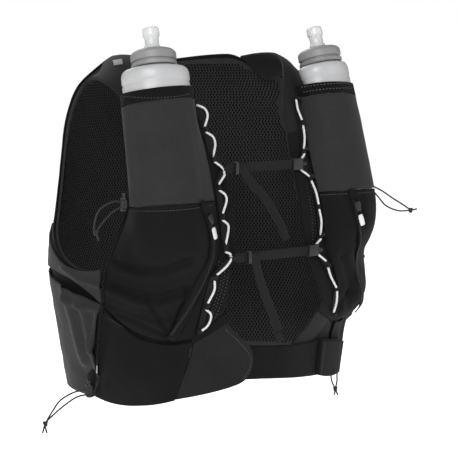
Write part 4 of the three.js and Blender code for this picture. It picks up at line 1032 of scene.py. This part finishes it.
# Stitch rows, as lines in the photograph's frame on the piece that carries them
stitchRows = [
    ("flask_hem_r", [(123, 96.5), (150, 98), (175, 96.5), (191, 93.5)], 0.0036),
    ("flask_hem_l", [(302, 87), (320, 84.5), (340, 83), (350, 83)], 0.0040),
    ("flask_hem_l", [(304, 92), (320, 89.5), (340, 88), (352, 88)], 0.0040),
    ("zip_pocket_r", [(132, 211), (160, 211), (190, 209), (213, 205)], 0.0032),
    ("zip_pocket_l", [(321, 195), (340, 194), (360, 193), (372, 192)], 0.0032),
    ("belt_wing_r", [(226, 330), (240, 343), (250, 356), (250, 368), (243, 379)], 0.003),
    ("waist_pocket_r", [(107, 317), (125, 328), (150, 338), (190, 346)], 0.003),
    ("waist_pocket_r", [(191, 349), (186, 372), (178, 396)], 0.003),
    ("side_panel_r", [(66, 284), (80, 292), (98, 304)], 0.003),
    ("belt_tab", [(325, 344), (323, 360), (321, 374)], 0.0028),
    ("belt_tab", [(340, 345), (339, 360), (337, 372)], 0.0028),
]
stitchSize = (0.0021, 0.0006, 0.0004)
rowsByLook = {"stitchThread": [], "paleThread": []}
for node, pixels, step in stitchRows:
    look = "paleThread" if node == "flask_hem_l" else "stitchThread"
    rowsByLook[look] += pixelPlaces(surfaceOf(node), pixels, step)
for look, spots in rowsByLook.items():
    repeatOn(f"stitches_{look}", spots, stitchSize, look)
    print(f"{look} stitches: {len(spots)}")


# Laces through their loops: arcs in the photograph's frame, start, middle and end of each
laceArcs = {
    "r": [[(196.3, 105), (204.5, 108.5), (207.6, 115.9), (204.9, 126.4)],
          [(206.4, 132.3), (212.8, 136.5), (215.3, 144.5), (213.4, 155.2)],
          [(214.9, 161.8), (219.5, 165.3), (223.7, 169.4)],
          [(224.4, 175.3), (221.8, 179.6), (219, 184.1)],
          [(219.6, 190.4), (225, 194.5), (226.6, 201), (223, 213)],
          [(222.9, 220.1), (227.8, 224.5), (228.4, 230.5), (225.9, 243.9)],
          [(225.5, 251.6), (230, 253.7)], [(231.5, 259), (226, 267), (217.4, 274.7)],
          [(214.7, 280.6), (214.8, 288), (213.1, 293.4), (208.2, 302.8)],
          [(206.2, 309.5), (210.5, 313.5), (210.8, 318.9), (207.5, 326), (201.9, 330.7)]],
    "l": [[(296.2, 99.5), (297, 105), (298.2, 110.2), (302, 120.1)],
          [(303.2, 125.9), (304.6, 137), (304, 148.1)], [(304.3, 154.2), (299.9, 161.6)],
          [(301.2, 169.8), (309.1, 176)], [(311.5, 181), (316, 192), (318.5, 203.7)],
          [(319.3, 209.3), (321.4, 221), (320.7, 233.6)], [(320.7, 239.1), (315.9, 244.8)],
          [(316.6, 252.8), (325.5, 260.5)], [(327.6, 265.6), (330.8, 276.3), (336.1, 286.9)],
          [(337.1, 291.3), (336.6, 302), (333.7, 312.3)]],
}
laceMake = {"radius": 0.00125, "sides": 10, "loopRadius": 0.0021, "loopSides": 12,
            "under": 0.0016, "ahead": 0.0006, "perStep": 6, "loopPerStep": 4}
# Where a chest strap takes a loop's place, and how the lace's depth is read off its solid
strapGaps = (2, 6)
depthMake = {"perEdge": 9, "rowStep": 2.0, "nearest": 40, "percent": 15}


def laceDepth(node):
    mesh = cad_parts[node].data
    places = meshPlaces(mesh)
    ends = np.array([edge.vertices[:] for edge in mesh.edges])
    samples = np.concatenate([places[ends[:, 0]] * (1 - t) + places[ends[:, 1]] * t
                              for t in np.linspace(0, 1, depthMake["perEdge"])])
    rows = pixelsOf(samples)[:, 1]
    depth = (samples - np.array(eyeSpot)) @ -np.array(viewBack)
    levels = np.arange(rows.min(), rows.max() + 2, depthMake["rowStep"])
    nearest = []
    for level in levels:
        close = np.argsort(np.abs(rows - level))[:depthMake["nearest"]]
        nearest.append(np.percentile(depth[close], depthMake["percent"]))
    return lambda v: float(np.interp(v, levels, nearest))


def laceSpot(pixel, depthAt, shift):
    ray = pixelRay(pixel)
    depth = depthAt(pixel[1]) + shift
    return eyeSpot + ray * (depth / ray.dot(-viewBack))


for side, arcs in laceArcs.items():
    depthAt = laceDepth(f"lace_{side}")
    route, loops = [], []
    for i, arc in enumerate(arcs):
        route += [laceSpot(pixel, depthAt, -laceMake["ahead"]) for pixel in arc]
        if i + 1 < len(arcs):
            (ax, ay), (bx, by) = arc[-1], arcs[i + 1][0]
            hidden = laceSpot(((ax + bx) / 2, (ay + by) / 2), depthAt, laceMake["under"])
            if i not in strapGaps:
                loops.append([laceSpot(arc[-1], depthAt, 0.0), hidden.lerp(route[-1], 0.5),
                              laceSpot(arcs[i + 1][0], depthAt, 0.0)])
            route.append(hidden)
    lace = tubeMesh(f"lace_{side}_round", smoothPath(route, laceMake["perStep"]),
                    laceMake["radius"], laceMake["sides"])
    dress(lace, "brightLace", "reflective", "vest", f"lace_{side}")
    for i, loop in enumerate(loops):
        sleeve = tubeMesh(f"lace_loop_{side}_{i}", smoothPath(loop, laceMake["loopPerStep"]),
                          laceMake["loopRadius"], laceMake["loopSides"])
        dress(sleeve, "wovenWebbing", "webbing", "vest")
print("laces made")


# Zip teeth down the middle of each strip
zipPaths = {
    "zip_r": [(203, 204), (208, 216), (213, 232), (214, 250), (210, 268), (200, 290), (187, 312),
              (171, 335)],
    "zip_l": [(352, 191), (355, 205), (359, 222), (361, 240), (357, 256), (358, 275), (362, 292),
              (360, 303)],
}
teethMake = {"step": 0.0016, "size": (0.0011, 0.0034, 0.0010)}
for node, pixels in zipPaths.items():
    teeth = pixelPlaces(surfaceOf(node), pixels, teethMake["step"])
    repeatOn(f"{node}_teeth", teeth, teethMake["size"], "lockPlastic")
    print(f"{node} teeth: {len(teeth)}")


# Light dots of the perforated strips beside the laces: line, columns and their gap in pixels
dotLines = {
    "chest_panel_r": ([(219, 262), (217, 282), (212, 300), (205, 318)], 4, 3.3),
    "chest_panel_l": ([(300, 135), (303, 160), (308, 190), (312, 215), (313, 245)], 3, 3.0),
}
dotMake = {"size": (0.0011, 0.0011, 0.0004), "step": 0.0038, "stagger": 1.5}
dotSpots = []
for node, (line, count, gap) in dotLines.items():
    surface = surfaceOf(node)
    for k in range(count):
        shifted = [(x + k * gap, y + (k % 2) * dotMake["stagger"]) for x, y in line]
        dotSpots += pixelPlaces(surface, shifted, dotMake["step"])
repeatOn("perforation_dots", dotSpots, dotMake["size"], "stitchThread")
print(f"dots: {len(dotSpots)}")


# Sewn patches: what carries them, corners in the photograph's frame, finish and slot
patches = {
    "shoulder_label": (("yoke_r",), [(113, 61), (122, 59.5), (123.5, 64.5), (114.5, 66)],
                       "bareLabel", "reflective"),
    "zip_garage_r": (("zip_r", "zip_pocket_r"), [(199.5, 205), (208, 204.5), (209.5, 213),
                     (201, 213.5)], "blackKnit", "black_cloth"),
    "zip_garage_l": (("zip_l", "zip_pocket_l"), [(348, 190.5), (356, 190), (357, 199.5),
                     (349, 200)], "blackKnit", "black_cloth"),
    "strap_end": (("sternum_lower_tail",), [(275, 333.5), (281.8, 332), (283.2, 338),
                  (276.4, 339.6)], "wovenWebbing", "black_cloth"),
}
patchMake = {"steps": 8, "lift": 0.0002, "thick": 0.0009}


def patchOn(name, carriers, corners):
    surface, steps = surfaceOf(*carriers), patchMake["steps"]
    first, second, third, fourth = (np.array(corner) for corner in corners)
    inner, outer = [], []
    for i in range(steps + 1):
        for j in range(steps + 1):
            u, v = i / steps, j / steps
            spot, out = seenOn(surface, (first * (1 - u) + second * u) * (1 - v)
                               + (fourth * (1 - u) + third * u) * v)
            inner.append(spot + out * patchMake["lift"])
            outer.append(spot + out * (patchMake["lift"] + patchMake["thick"]))
    row, half = steps + 1, len(inner)
    faces = []
    for i in range(steps):
        for j in range(steps):
            a = i * row + j
            faces.append((a, a + 1, a + row + 1, a + row))
            faces.append((half + a, half + a + row, half + a + row + 1, half + a + 1))
    rim = [*range(row), *(k * row + steps for k in range(1, row)),
           *(steps * row + steps - k for k in range(1, row)),
           *(k * row for k in range(steps - 1, 0, -1))]
    for a, b in zip(rim, rim[1:] + rim[:1]):
        faces.append((a, half + a, half + b, b))
    return closedShape(name, inner + outer, faces, smooth=False)


for name, (carriers, corners, look, slotName) in patches.items():
    dress(patchOn(name, carriers, corners), look, slotName, "vest")
print("patches sewn on")


# Floor and light
stageMake = {"floorZ": -0.62, "reach": 6.0, "sky": 0.33, "backdrop": 1.0, "floorGlow": 0.75}
lights = {
    "keyLight": {"place": (-1.7, -1.7, 1.3), "size": 1.3, "power": 58},
    "fillLight": {"place": (1.6, -1.9, 0.7), "size": 1.8, "power": 12},
    "backLight": {"place": (0.3, 1.9, 1.4), "size": 1.6, "power": 26},
}


def addAreaLight(name, look):
    data = bpy.data.lights.new(name, "AREA")
    data.size = look["size"]
    data.energy = look["power"]
    light = addObject(name, data)
    light.location = look["place"]
    light.rotation_mode = "QUATERNION"
    way = Vector(photoFrame["lookAt"]) - Vector(look["place"])
    light.rotation_quaternion = way.to_track_quat("-Z", "Y")


def makeStage(look):
    mesh = bpy.data.meshes.new("floor")
    reach = look["reach"]
    mesh.from_pydata([(x, y, look["floorZ"]) for x, y in (
        (-reach, -reach), (reach, -reach), (reach, reach), (-reach, reach))], [], [(0, 1, 2, 3)])
    floor = addObject("floor", mesh)
    paint, tree, shader = newMaterial("floorPaint")
    shade = mixColour(tree, cloudy(tree, objectSpot(tree), 2.0, 2.0), grey(0.90, 1.0),
                      grey(0.94, 1.0))
    fillInputs(tree, shader, {"Base Color": shade, "Roughness": 0.9,
                              "Emission Color": (1, 1, 1, 1),
                              "Emission Strength": look["floorGlow"]})
    mesh.materials.append(paint)
    world = bpy.data.worlds.new("studio")
    world.use_nodes = True
    tree = world.node_tree
    seen = addNode(tree, "ShaderNodeLightPath")["Is Camera Ray"]
    strength = addNode(tree, "ShaderNodeMapRange", {
        0: seen, 1: 0.0, 2: 1.0, 3: look["sky"], 4: look["backdrop"]})[0]
    fillInputs(tree, tree.nodes["Background"], {"Color": (1, 1, 1, 1), "Strength": strength})
    bpy.context.scene.world = world
    bpy.context.scene.view_settings.view_transform = "Standard"


makeStage(stageMake)
for name, look in lights.items():
    addAreaLight(name, look)
